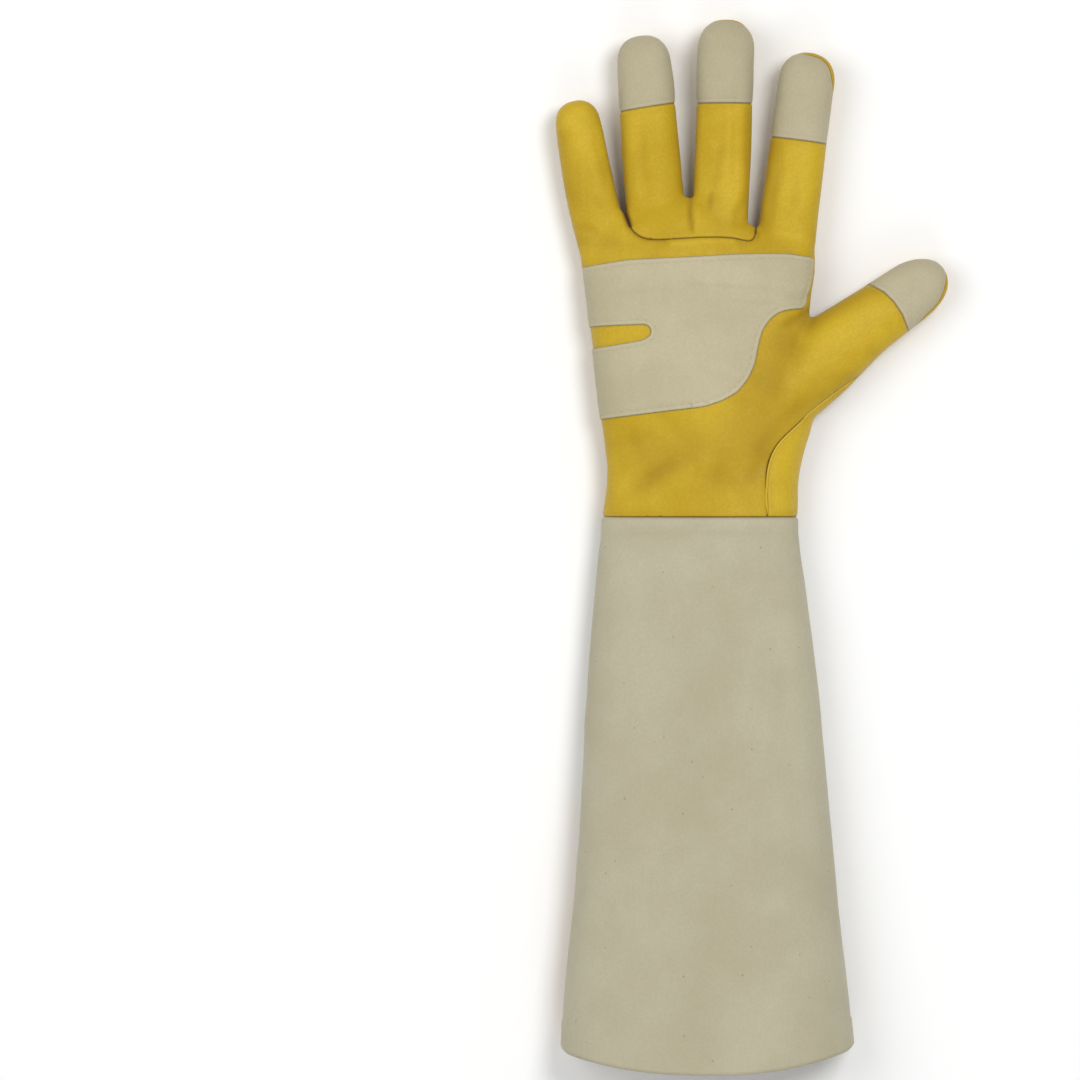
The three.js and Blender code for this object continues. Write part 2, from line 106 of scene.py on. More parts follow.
# x, y of the web's edge on the palm side
WEB = [(-78, 139), (-54.9, 145.6), (-26.8, 150.8), (1.8, 138), (14, 140), (28, 135)]
WEB_TOP, WEB_SLOPE = 15.0, 1.5
# distance behind the web, left, right, top, share of the web's fall
KNUCKLES = [
    (22, -71.6, 26.4, 27, 0.45),
    (10, -73.2, 27.8, 23.6, 0.8),
    (4, -72.8, 27.6, 21, 1),
    (1, -71.6, 26, 18.2, 1),
    (0, -70, 24, 15.4, 1),
]
# y, left, right, top
CUFF = [
    (HEM_Y, -82, 44.2, 51.5),
    (-191, -79.9, 41.0, 49),
    (-150, -76.0, 37.1, 45),
    (VENT_TOP_Y, -72.7, 33.2, 41.5),
    (-66, -70.4, 29.2, 37),
    (-6, -65.6, 21.8, 31),
    (WRIST_Y - 7, -64.3, 20.6, 30),
]

# %% Seam lines and patches, seen from above
FRONT_SEAM = [(-57.4, 152), (-54.0, 143), (-52, 137), (-49.5, 134), (-45.6, 132), (-39, 131.6), (-22, 132.8),
              (-9, 132.8), (-2.6, 131.4), (0.4, 131.2), (2.2, 134), (2.8, 145)]
GUSSET_SEAM = [(7.8, 0), (6.4, 28), (7.2, 34.4), (8.6, 38.6), (10.6, 42.6), (13.8, 46.4), (22, 53.8),
               (25.2, 57), (29.7, 60.8), (37, 66.4), (44, 71.4), (50, 74.6)]
BACK_EDGE = [(17.2, 0), (17.4, 24), (20, 36), (22.6, 48), (25.2, 66), (26.4, 84), (27.2, 96), (25, 108)]
THUMB_BACK = [(25, 96), (33, 90), (39, 84), (44, 76), (49, 65)]
# x, y and slope of the lower edge of each fingertip patch
TIP_EDGES = {"ring": (-45.2, 188.7, 0.16), "middle": (-11.3, 190.5, 0.0), "index": (20.4, 174.6, -0.13)}
THUMB_TIP = [(42, 115.4), (51.8, 112.4), (57.2, 109.2), (61.6, 104.8), (65.2, 99.4), (68, 92.6), (69.6, 84),
             (110, 90), (110, 145), (42, 145)]
# fork x, y and a point far beyond it in the open gap between two fingers
GAPS = [((-54.9, 145.6), (-61.8, 232)), ((-26.8, 149.3), (-28.8, 232)), ((1.7, 138), (8, 232))]
PALM_PATCH = [(-90, 118), (-72, 120), (-52, 123), (-26, 124.3), (4, 125.6), (16.8, 125.6), (26.7, 124.2),
              (25.3, 114), (22.7, 102), (16.8, 101.5), (12, 100.4), (8.2, 97.6), (4.8, 92.8), (3, 86.4),
              (1.4, 78), (-1.6, 71.4), (-6, 66), (-12.4, 62.4), (-20, 59.8), (-40, 57.4), (-65, 54.3),
              (-90, 51), (-90, 82.4), (-68.6, 84.8), (-47, 88.2), (-43.8, 89.8), (-42.8, 91.8), (-43.6, 93.8),
              (-45.4, 95), (-69.4, 94.2), (-90, 93.6)]
print("pattern:", len(FINGERS), "fingers,", len(PALM) + len(KNUCKLES), "palm and", len(CUFF), "cuff sections")

# %% [markdown]
# ## One soft skin
# The palm, four fingers and thumb are lofted as separate tubes that run into each other: rings of points
# are placed along each centre line, and neighbouring rings are bridged. A voxel remesh then wraps all the
# tubes in one even skin, and a little smoothing rounds the forks between them as soft leather does. A
# boolean union would keep the tubes' own uneven faces, which wrinkle badly when they are bent later.

# %% Reading the tables at any place
def smooth_row(table, at, key=0):
    """The row of a table at a place between its rows, on a smooth curve through them."""
    rows = sorted(table, key=lambda row: row[key])
    keys = [row[key] for row in rows]
    at = min(max(at, keys[0]), keys[-1])
    i = min(max(int(np.searchsorted(keys, at)) - 1, 0), len(rows) - 2)
    t = (at - keys[i]) / (keys[i + 1] - keys[i])
    result = []
    for column in range(len(rows[0])):
        p = [rows[min(max(k, 0), len(rows) - 1)][column] for k in (i - 1, i, i + 1, i + 2)]
        span = [keys[min(max(k, 0), len(rows) - 1)] for k in (i - 1, i, i + 1, i + 2)]
        step = span[2] - span[1]
        m1 = (p[2] - p[0]) / max(span[2] - span[0], 1e-6) * step
        m2 = (p[3] - p[1]) / max(span[3] - span[1], 1e-6) * step
        result.append(p[1] * (2 * t**3 - 3 * t**2 + 1) + m1 * (t**3 - 2 * t**2 + t)
                      + p[2] * (3 * t**2 - 2 * t**3) + m2 * (t**3 - t**2))
    return result


def clamp01(value):
    """The value, kept between 0 and 1."""
    return min(1.0, max(0.0, value))


def lift(y):
    """How far the empty fingertips curl up off the table."""
    return LIFT * clamp01((y - LIFT_START) / (LIFT_END - LIFT_START)) ** 2


def oval(sides, half, up, down, squareness):
    """Points round a flattened oval, from the thumb side up over the palm: (sideways, height)."""
    def bend(value):
        return math.copysign(abs(value) ** (2 / squareness), value)
    angles = [(i + 0.5) / sides * math.tau for i in range(sides)]
    return [(half * bend(math.cos(a)), (up if math.sin(a) > 0 else down) * bend(math.sin(a))) for a in angles]


# %% Rings of points, bridged into tubes
def add_tube(bm, rings):
    """Bridges rings of points into one closed tube."""
    loops = []
    for ring in rings:
        circle = bmesh.ops.create_circle(bm, segments=len(ring), radius=1)["verts"]
        for vert, point in zip(circle, ring):
            vert.co = point
        loops.append(circle)
    for first, second in zip(loops, loops[1:]):
        edges = {e for loop in (first, second) for v in loop for e in v.link_edges if not e.link_faces}
        wanted = set(first) | set(second)
        edges |= {e for v in first for e in v.link_edges if e.other_vert(v) in wanted}
        bmesh.ops.bridge_loops(bm, edges=list(edges))
    for loop in (loops[0], loops[-1]):
        bmesh.ops.contextual_create(bm, geom=loop)


def palm_ring(left, right, top, place, sides=96):
    """One section across the palm or cuff, flattened where it lies on the table."""
    ring = []
    for side, height in oval(sides, (right - left) / 2, top - SIDE_LEVEL, SIDE_LEVEL + 2, PALM_SQUARENESS):
        point = Vector(((left + right) / 2 + side, 0, max(SIDE_LEVEL + height, 0)))
        point.y = place(point)
        ring.append(point)
    return ring


def digit_rings(stations, tip_length, sides=48, blunt=0.8):
    """Rings along a finger or thumb, closed over its tip, which is fuller when blunt is less than 1."""
    tip = Vector(stations[-1][:2])
    run = (tip - Vector(stations[-2][:2])).normalized()
    last = stations[-1]
    stations = [s for s in stations if (Vector(s[:2]) - tip).length > tip_length + 3] + [last]
    points = [Vector(s[:2]) for s in stations[:-1]] + [tip - run * tip_length]
    rings = []

    def ring(centre, along, half, up, down, scale):
        """One ring across the finger, flattened where it lies on the table."""
        across = Vector((along.y, -along.x, 0))
        made = []
        for side, height in oval(sides, half * scale, up * scale, down * scale, DIGIT_SQUARENESS):
            point = Vector((centre.x, centre.y, SIDE_LEVEL + height)) + across * side
            point.z = max(point.z, 0)
            made.append(point)
        return made

    for i, station in enumerate(stations):
        along = (points[min(i + 1, len(points) - 1)] - points[max(i - 1, 0)]).normalized()
        rings.append(ring(points[i], along, *station[2:], 1))
    for degrees in (12, 24, 36, 48, 58, 68, 76, 84):
        angle = math.radians(degrees)
        centre = points[-1] + run * tip_length * math.sin(angle) ** (0.5 + blunt / 2)
        rings.append(ring(centre, run, *stations[-1][2:], math.cos(angle) ** blunt))
    return rings


def web_edge(x):
    """y of the web's edge between the fingers, on the palm side."""
    return smooth_row(WEB, x)[1]


def finger_stations(finger):
    """Stations every few millimetres along a finger, on a smooth curve through its root, joint and tip."""
    _, *n = finger
    rows = [(n[1], n[0], n[2]), (n[4], n[3], n[5]), (n[7], n[6], n[8])]
    ys = np.linspace(n[1], n[7], 12)
    return [(smooth_row(rows, y)[1], y, smooth_row(rows, y)[2], n[9], n[10]) for y in ys]


# %% The palm, fingers and thumb, wrapped in one skin
def wrapped_in_skin(bm, voxel):
    """A new bmesh with one even skin round everything in the old one."""
    mesh = bpy.data.meshes.new("tubes")
    bm.to_mesh(mesh)
    bm.free()
    tubes = bpy.data.objects.new("tubes", mesh)
    bpy.context.scene.collection.objects.link(tubes)
    remesh = tubes.modifiers.new("remesh", "REMESH")
    remesh.mode = "VOXEL"
    remesh.voxel_size = voxel
    result = bmesh.new()
    result.from_mesh(tubes.evaluated_get(bpy.context.evaluated_depsgraph_get()).to_mesh())
    bpy.data.objects.remove(tubes)
    bpy.data.meshes.remove(mesh)
    return result


def soften(bm, verts, rounds):
    """Evens out the given points."""
    for _ in range(rounds):
        bmesh.ops.smooth_vert(bm, verts=verts, factor=0.5, use_axis_x=True, use_axis_y=True, use_axis_z=True)


hand = bmesh.new()
palm_rings = [palm_ring(*smooth_row(PALM, y)[1:], lambda p, y=y: y) for y in np.linspace(4, 97, 24)]
for behind, left, right, top, share in KNUCKLES:
    def place(p, behind=behind, share=share):
        return web_edge(p.x) - behind - share * WEB_SLOPE * max(0, WEB_TOP - p.z)
    palm_rings.append(palm_ring(left, right, top, place))
slit = [Vector((p.x, 0, SIDE_LEVEL - 2 + 0.05 * (p.z - SIDE_LEVEL + 2))) for p in palm_rings[-1]]
palm_rings.append([Vector((p.x, web_edge(p.x) - WEB_SLOPE * max(0, WEB_TOP - p.z), p.z)) for p in slit])
add_tube(hand, palm_rings)
for finger in FINGERS:
    add_tube(hand, digit_rings(finger_stations(finger), finger[9] + 1))
numbered = [(i, *row) for i, row in enumerate(THUMB)]
thumb_stations = [smooth_row(numbered, t)[1:] for t in np.linspace(0, len(THUMB) - 1, 14)]
THUMB_TIP_LENGTH = 19
add_tube(hand, digit_rings(thumb_stations, THUMB_TIP_LENGTH, blunt=1))
bmesh.ops.recalc_face_normals(hand, faces=hand.faces)

SKIN_VOXEL = 0.95
hand = wrapped_in_skin(hand, SKIN_VOXEL)
soften(hand, hand.verts, 8)
bmesh.ops.bisect_plane(hand, geom=hand.verts[:] + hand.edges[:] + hand.faces[:], plane_co=(0, WRIST_Y, 0),
                       plane_no=(0, 1, 0), clear_inner=True)
bmesh.ops.recalc_face_normals(hand, faces=hand.faces)
hand.normal_update()
soft_tree = KDTree(len(hand.verts))
for k, vert in enumerate(hand.verts):
    soft_tree.insert(vert.co, k)
soft_tree.balance()
soft_directions = [v.normal.copy() for v in hand.verts]


def out_of_skin(point):
    """The direction straight out of the soft skin near a point."""
    return sum((soft_directions[k] for _, k, _ in soft_tree.find_n(point, 6)), Vector()).normalized()


print("hand skin:", len(hand.verts), "points")

# %% [markdown]
# ## Dividing the skin into panels
# Each face of the skin is given to the panel of leather that covers it. The borders come out as little
# steps at first, because the faces are square, so each point on a border is then slid onto the true seam
# line, found by halving the distance between the two panels until it is exact. Cutting with knives or
# booleans would give the same lines, but leaves slivers that shade badly in a rolled seam.

# %% Which panel covers a point
def inside(outline, x, y):
    """True if the point lies inside the outline, seen from above."""
    found = False
    for (x1, y1), (x2, y2) in zip(outline, outline[1:] + outline[:1]):
        if (y1 > y) != (y2 > y) and x < x1 + (y - y1) / (y2 - y1) * (x2 - x1):
            found = not found
    return found


def gap_x(gap, y):
    """x of the open gap between two fingers at a place along it."""
    (fork_x, fork_y), (far_x, far_y) = gap
    return fork_x + (far_x - fork_x) * max(0, y - fork_y) / (far_y - fork_y)


def centre_x(finger, y):
    """x of a finger's centre line at a place along it."""
    _, rx, ry, _, jx, jy, _, tx, ty, _, _, _ = finger
    return rx + (jx - rx) * (y - ry) / (jy - ry) if y < jy else jx + (tx - jx) * (y - jy) / (ty - jy)


def rounded(outline, cut=1.6, rounds=3, closed=False):
    """The outline with its corners cut again and again by a small step, as scissors round them."""
    for _ in range(rounds):
        points = [Vector(p) for p in outline]
        made = [] if closed else [points[0]]
        pairs = list(zip(points, points[1:] + points[:1])) if closed else list(zip(points, points[1:]))
        for k, (a, b) in enumerate(pairs):
            step = (b - a).normalized() * min(cut, (b - a).length / 4)
            if closed or k > 0:
                made.append(a + step)
            if closed or k < len(pairs) - 1:
                made.append(b - step)
        outline = [tuple(p) for p in made + ([] if closed else [points[-1]])]
        cut *= 0.6
    return outline


FRONT_SEAM = rounded(FRONT_SEAM, 3.0)
GUSSET_SEAM = rounded(GUSSET_SEAM, 3.0)
PALM_PATCH = rounded(PALM_PATCH, 1.2, closed=True)
FRONT_REGION = FRONT_SEAM + [(8, 232), (-62.5, 232)]
GUSSET_FRONT = GUSSET_SEAM + [(70, 74), (70, -5), (7.8, -5)]
GUSSET_BACK = BACK_EDGE[:-1] + [(25, 96)] + THUMB_BACK + [(70, 65), (70, -5), (17.2, -5)]
THUMB_BACK_REGION = THUMB_BACK + [(120, 65), (120, 140), (60, 140), (30, 104), (25.8, 97.6)]
FOURCHETTES = ["fourchette_little_ring", "fourchette_ring_middle", "fourchette_middle_index"]


def rim_rise(name, x, y):
    """How far the yellow back wraps up round a fingertip, so that a thin rim shows from the palm side."""
    if name == "index":
        return 4.6 * clamp01((0.75 * (x - 24) + 0.66 * (y - 200) - 4) / 5) if x > 20 else 0.0
    if name == "middle":
        return 2.6 * clamp01((y - 221.5 + 0.3 * (x + 10)) / 5)
    if name == "thumb":
        along = (x - 59.3) * 0.81 + (y - 102.6) * 0.587
        return 3.5 * clamp01((0.587 * (x - 59.3) - 0.81 * (y - 102.6) - 1) / 6) * clamp01((along - 4) / 7)
    return 0.0


def panel_of(x, y, z):
    """The name of the panel that covers a point of the skin."""
    # Above the palm, everything on the little finger's side of this slanting line belongs to the fingers.
    if y > 99 and x < 24.5 + (y - 97) * 0.62:
        i = sum(x > gap_x(gap, y) for gap in GAPS)
        finger = FINGERS[i]
        gap = i - 1 if x < centre_x(finger, y) else i
        half = STRIP / 2 * clamp01((finger[8] - 2 - y) / 13) if 0 <= gap <= 2 else 0
        level = SIDE_LEVEL
        if half:
            toward_little = clamp01(0.5 - (x - gap_x(GAPS[gap], y)) / 10)
            level -= (1.5 + 2.0 * toward_little) * 2 * half / STRIP
        if finger[0] in TIP_EDGES:
            edge_x, edge_y, slope = TIP_EDGES[finger[0]]
            if y > edge_y + slope * (x - edge_x) and z > level - half + rim_rise(finger[0], x, y):
                return "tip_patch_" + finger[0]
        if abs(z - level) < half:
            return FOURCHETTES[gap]
        if z < level + rim_rise(finger[0], x, y):
            return "back_panel"
        return "middle_ring_front" if inside(FRONT_REGION, x, y) else "palm_panel"
    if z > SIDE_LEVEL + rim_rise("thumb", x, y):
        if inside(THUMB_TIP, x, y):
            return "tip_patch_thumb"
        return "side_gusset" if inside(GUSSET_FRONT, x, y) else "palm_panel"
    if inside(THUMB_BACK_REGION, x, y):
        return "thumb_back"
    return "side_gusset" if inside(GUSSET_BACK, x, y) else "back_panel"


# %% Giving faces to panels and straightening the borders
def close_slivers(bm, smallest):
    """Closes up faces that are folded over or smaller than an area, along their shortest edge."""
    for _ in range(4):
        bm.normal_update()
        bm.edges.index_update()
        folded = [f for f in bm.faces
                  if f.calc_area() < smallest or f.normal.dot(out_of_skin(f.calc_center_median())) < 0.15]
        short = {min(f.edges, key=lambda e: e.calc_length()) for f in folded}
        if short:
            bmesh.ops.collapse(bm, edges=sorted(short, key=lambda e: e.index), uvs=False)


def divide(bm, owner_of):
    """Numbers each face by its owner, and slides the points between two owners onto the line between them."""
    layer = bm.faces.layers.int.new("panel")
    owners = {f: owner_of(*f.calc_center_median()) for f in bm.faces}
    order = sorted(set(owners.values()))
    for face, name in owners.items():
        face[layer] = order.index(name)
    surface = BVHTree.FromBMesh(bm)
    moved = {}
    for vert in bm.verts:
        names = sorted({owners[f] for f in vert.link_faces})
        if len(names) != 2:
            continue
        middle = [Vector(), Vector()]
        for k, name in enumerate(names):
            centres = [f.calc_center_median() for f in vert.link_faces if owners[f] == name]
            middle[k] = sum(centres, Vector()) / len(centres)
        near, far = middle
        # The two middles are pushed apart a little, so that the line surely lies between them.
        near, far = near + (near - far), far + (far - near)
        for _ in range(9):
            half_way = (near + far) / 2
            if owner_of(*half_way) == names[0]:
                near = half_way
            else:
                far = half_way
        target = surface.find_nearest((near + far) / 2)[0]
        if (target - vert.co).length < SKIN_VOXEL:
            moved[vert] = target
    for vert, target in moved.items():
        start = vert.co.copy()
        for share in (1.0, 0.7, 0.4, 0.0):
            # A move that would fold a face over is made shorter.
            vert.co = start.lerp(target, share)
            for face in vert.link_faces:
                face.normal_update()
            out = out_of_skin(vert.co)
            if all(f.normal.dot(out) > 0.4 and f.calc_area() > 0.04 for f in vert.link_faces):
                break
    # The points just beside a seam are evened out, still on the skin, so that no face there is folded over.
    beside = list({e.other_vert(v) for v in moved for e in v.link_edges} - set(moved))
    beside = [v for v in beside if not v.is_boundary]
    for _ in range(3):
        soften(bm, beside, 1)
        for vert in beside:
            vert.co = surface.find_nearest(vert.co)[0]
    bmesh.ops.remove_doubles(bm, verts=bm.verts, dist=0.22)
    close_slivers(bm, 0.05)
    return order


panels = divide(hand, panel_of)
print("panels:", panels)

# %% [markdown]
# ## Seams that roll in, and a skin that puffs between them
# A glove is sewn inside out and turned, so at each seam the two leathers roll down and meet in a groove.
# The distance from each point to the nearest seam gives the roll: a quarter of a circle 1.7 mm wide. The
# same distance is kept on the mesh, because the materials darken the leather in the groove. Only the
# strip along the seams is made finer, so the rest of the skin stays light.

# %% How far each point is from the nearest seam
def seams_of(bm):
    """The edges where two panels meet or where the skin ends."""
    layer = bm.faces.layers.int["panel"]
    return [e for e in bm.edges if len({f[layer] for f in e.link_faces}) > 1 or e.is_boundary]


# How deep and dark a seam is, by the first of these words that is in the names of its two panels.
SEAM_STRENGTHS = [("fourchette", 0.3), ("tip_patch", 0.3), ("middle_ring_front", 0.5), ("gusset", 0.65),
                  ("thumb", 0.65), ("", 0.45)]
EDGE_STRENGTH = 0.75


def seam_strength(edge, layer, order):
    """The strength of the seam that an edge is part of."""
    if edge.is_boundary:
        return EDGE_STRENGTH
    names = " ".join(order[f[layer]] for f in edge.link_faces)
    return next(value for word, value in SEAM_STRENGTHS if word in names)


def seam_finder(bm, order):
    """A function that gives how far points are from the nearest seam, and how strong that seam is."""
    layer = bm.faces.layers.int["panel"]
    edges = seams_of(bm)
    strengths = [seam_strength(edge, layer, order) for edge in edges]
    tree = KDTree(len(edges) * 4)
    for k, edge in enumerate(edges):
        a, b = edge.verts
        for j in range(4):
            tree.insert(a.co.lerp(b.co, (j + 0.5) / 4), 4 * k + j)
    tree.balance()

    def find(bm):
        found = [tree.find(v.co) for v in bm.verts]
        return np.array([f[2] for f in found]), np.array([strengths[f[1] // 4] for f in found])
    return find


def finer_beside(bm, distance, width):
    """Splits the faces that lie within a width of the seams, so that the roll has points to bend at."""
    for vert, far in zip(bm.verts, distance):
        vert.tag = bool(far < width)
    strip = [e for e in bm.edges if e.verts[0].tag and e.verts[1].tag]
    bmesh.ops.subdivide_edges(bm, edges=strip, cuts=1, use_grid_fill=True)
    close_slivers(bm, 0.012)


to_seam = seam_finder(hand, panels)
finer_beside(hand, to_seam(hand)[0], 2.4)
near, strength = to_seam(hand)
print("points after the seams are made finer:", len(hand.verts))

# %% Seam lines kept as paths, for the welts
def seam_path(bm, one, other, wanted=lambda p: True):
    """The points along the seam between two panels, in order."""
    layer = bm.faces.layers.int["panel"]
    pair = {panels.index(one), panels.index(other)}
    links = {}
    for edge in bm.edges:
        if {f[layer] for f in edge.link_faces} == pair and wanted((edge.verts[0].co + edge.verts[1].co) / 2):
            a, b = edge.verts
            links.setdefault(a, []).append(b)
            links.setdefault(b, []).append(a)
    longest = []
    left = set(links)
    while left:
        ends = [v for v in left if len(links[v]) == 1] or list(left)
        chain = [min(ends, key=lambda v: (round(v.co.x, 3), round(v.co.y, 3), round(v.co.z, 3)))]
        while True:
            following = [v for v in links[chain[-1]] if v in left and v not in chain[-3:]]
            left.discard(chain[-1])
            if not following:
                break
            chain.append(following[0])
        if len(chain) > len(longest):
            longest = chain
    return [v.co.copy() for v in longest]


fork_paths = [seam_path(hand, "back_panel", name, lambda p, g=gap: p.y < g[0][1] + 14)
              for name, gap in zip(FOURCHETTES, GAPS)]
gusset_path = seam_path(hand, "side_gusset", "palm_panel", lambda p: p.z > SIDE_LEVEL + 1)
print("fork seams:", [len(path) for path in fork_paths], "gusset seam:", len(gusset_path))

# %% [markdown]
# ## Folds, gathers and slack
# Leather that has been worn keeps its creases. Each fold is a short drawn path with a reach and a
# depth, pressed in along the direction out of the skin, so it stays soft and runs on across the panels.
# The elastic at the back of the wrist is a band of pleats, and slow noise gives the slack of an empty
# glove. A cloth simulation would make folds too, but not these ones, and it would pull the panels apart
# at their seams.

# %% Distance from a drawn line
def from_line(points, path):
    """Distance of each point from a line seen from above, and how far along the line it lies, from 0 to 1."""
    path = np.array(path, float)
    lengths = np.linalg.norm(np.diff(path, axis=0), axis=1)
    best = np.full(len(points), 1e9)
    along = np.zeros(len(points))
    for k in range(len(path) - 1):
        step = path[k + 1] - path[k]
        t = np.clip(((points - path[k]) @ step) / (step @ step), 0, 1)
        distance = np.linalg.norm(points - path[k] - t[:, None] * step, axis=1)
        closer = distance < best
        best[closer] = distance[closer]
        along[closer] = ((lengths[:k].sum() + t * lengths[k]) / lengths.sum())[closer]
    return best, along


def stroke(plan, path, reach, ends=1.0, keep=0.04):
    """How strongly a soft stroke acts on each point, from 0 to 1. Ends is how much it fades at both ends."""
    distance, along = from_line(plan, path)
    return np.exp(-(distance / reach) ** 2) * np.sin(np.pi * np.clip(along, keep, 1 - keep)) ** ends


# %% Folds of the palm
# Path, reach and depth of each fold. A negative depth stands up as a ridge.
PALM_FOLDS = [
    ([(-55.4, 147.6), (-53.8, 142.4), (-52.2, 138)], 0.9, 1.6),
    ([(1.6, 137.6), (2.8, 134.6), (2.2, 132)], 0.8, 1.0),
    ([(-26.2, 152), (-26.1, 143), (-25.4, 134)], 1.4, 1.1),
    ([(-22.5, 148), (-22.8, 141), (-23.5, 135)], 1.8, -0.5),
    ([(-31, 38), (-36, 34), (-43, 29.6), (-53, 22)], 3.2, 1.1),
    ([(-37, 23), (-26, 31), (-14, 41)], 4.5, -0.5),
    ([(-51.5, 49), (-50.5, 45), (-50, 41)], 3.2, 0.6),
    ([(-17, 30), (-12, 29)], 3.2, 0.5),
    ([(9, 42), (4, 33), (-4, 27)], 3.6, 0.7),
    ([(27, 103), (21, 98), (13, 94.5)], 1.8, 1.1),
    ([(27, 108), (20, 107), (13, 107)], 1.6, 0.6),
    ([(22, 94), (20, 86), (17, 76)], 3.4, 0.5),
    ([(-11, 186), (-12.4, 172), (-16, 154), (-19, 145)], 2.0, 0.6),
    ([(-6, 200), (-7, 175), (-7, 150)], 1.8, 0.5),
    ([(-3, 150), (-6, 143), (-7, 136)], 2.0, 0.6),
    ([(-47, 184), (-46, 168), (-44, 152)], 2.4, 0.5),
    ([(10.4, 135.4), (15, 133.4), (20.6, 131.6)], 1.5, -0.7),
    ([(12, 165), (9, 148), (7, 134)], 2.4, 0.6),
    ([(21, 162), (19, 148), (17, 138)], 2.0, 0.4),
    ([(-76, 137.4), (-70, 136.6), (-64, 134.6)], 1.6, 0.9),
    ([(-61, 150), (-64, 165), (-69, 182)], 2.4, 0.5),
    ([(38, 78), (28, 70), (20, 60), (14, 50)], 3.6, 0.5),
]

# %% Folds of the back
BACK_FOLDS = [
    ([(-54, 56), (-55, 80), (-58, 112)], 3.0, 0.7),
    ([(-38, 56), (-39, 85), (-41, 120)], 3.0, 0.9),
    ([(-26, 58), (-25, 75), (-26, 96)], 2.4, 0.5),
    ([(-12, 56), (-11, 84), (-13, 121)], 3.0, 0.8),
    ([(5, 60), (8, 80), (9, 104)], 4.0, 1.0),
    ([(-45, 150), (-45, 172), (-47, 196)], 2.4, 0.6),
    ([(-13, 140), (-12, 170), (-12, 200)], 2.4, 0.6),
    ([(17, 135), (19, 160), (22, 190)], 2.4, 0.6),
    # the creases that the elastic pulls in across the wrist
    ([(17.5, 43.4), (12, 40.6), (6.6, 37)], 1.3, 1.8),
    ([(8.4, 46.8), (2, 44.2), (-5.4, 40.4)], 1.8, 1.8),
    ([(-9.2, 48), (-12.4, 41.6), (-16.6, 35.6)], 1.3, 2.3),
    ([(-20, 47), (-23, 43), (-25, 39)], 1.4, 0.9),
    ([(-28.6, 46), (-32, 42.7), (-35.4, 39.8)], 1.2, 1.5),
    ([(-32.6, 39.2), (-36, 36.4), (-39, 34)], 1.2, 1.6),
    ([(-22.8, 36), (-24, 33.2), (-25.6, 30)], 1.9, 1.3),
    ([(-43, 45), (-47, 41), (-49, 36)], 1.5, 1.1),
    ([(-52, 46), (-55, 41), (-56, 37)], 1.6, 0.9),
    ([(-58, 42), (-60.6, 36.4), (-62, 30)], 1.3, 1.5),
    ([(22.4, 30), (15.4, 33.8), (7.4, 38.6)], 1.6, 1.5),
    ([(22.6, 34), (21.6, 29), (22.6, 19)], 1.3, 1.6),
    ([(14.6, 45.4), (7, 42), (0, 38.6)], 1.7, -0.9),
    ([(-5.6, 46), (-8.8, 41), (-12, 36)], 1.8, -0.9),
    ([(-13, 47), (-17, 42), (-20, 37)], 1.7, -0.8),
    ([(-26, 42), (-30, 38.4), (-35, 37.4)], 1.8, -0.8),
    ([(-37, 42), (-41, 38.6), (-44, 35)], 2.4, -0.9),
    ([(-50, 43), (-52, 39), (-53, 34)], 2.2, -0.7),
    # two soft creases behind the thumb's seam
    ([(41, 86), (47, 92), (50, 101)], 3.0, 0.8),
    ([(31, 79), (35, 70), (36, 62)], 3.0, 0.6),
]
print("folds of the palm and the back:", len(PALM_FOLDS), len(BACK_FOLDS))


# %% Depth of the folds, slack, gathers and tuck
def fold_depth(co):
    """How far the folds press each point of the skin inwards."""
    total = np.zeros(len(co))
    for folds, side in ((PALM_FOLDS, co[:, 2] > SIDE_LEVEL), (BACK_FOLDS, co[:, 2] < SIDE_LEVEL)):
        for path, reach, depth in folds:
            total += side * depth * stroke(co[:, :2], path, reach, 0.6)
    return total


def slack(co):
    """Soft waves all over the leather, longer along the hand than across it."""
    waves = np.empty(len(co))
    for k, (x, y, z) in enumerate(co):
        waves[k] = (0.55 * noise.noise(Vector((x / 17, y / 34, z / 17)))
                    + 0.22 * noise.noise(Vector((x / 6.5 + 9, y / 12, z / 6.5))))
    return waves


def gather_rise(co):
    """How far the elastic across the back of the wrist lifts the leather off the table."""
    x, y, z = co.T
    side = np.clip(1.2 - np.abs((x + 20.8) / 42) ** 4, 0, 1) * np.clip((SIDE_LEVEL - z) / 6, 0, 1)
    reach = np.where(y > ELASTIC_Y + 4, GATHER_REACH, 9.0)
    pull = np.exp(-((y - ELASTIC_Y - 4) / reach) ** 2 * 2)
    pleat = 0.5 + 0.5 * np.cos(x / 7.4 * math.tau + 1.6 * np.sin(x / 6.1) + 0.02 * (x + 21) * (y - ELASTIC_Y))
    return side * pull * (GATHER_DEPTH - 0.6 + 0.9 * pleat)


def tuck_under(co):
    """The gusset and the back of the thumb are set in above the edge of the back panel."""
    x, y, z = co.T
    edge = np.interp(y, [p[1] for p in BACK_EDGE], [p[0] for p in BACK_EDGE])
    beyond = np.clip((x - edge) / 1.8, 0, 1)
    low = np.clip((SIDE_LEVEL - z) / 5, 0, 1)
    low = low * np.clip((118 - y) / 12, 0, 1) * np.clip((y - WRIST_Y) / 14, 0, 1)
    return 2.8 * low * beyond ** 2 * (3 - 2 * beyond) * np.exp(-((x - edge) / 17) ** 2)


# %% Shaping the skin
ROLL_WIDTH, ROLL_DEPTH = 1.7, 1.3
PUFF_HEIGHT, PUFF_REACH = 0.45, 3.5


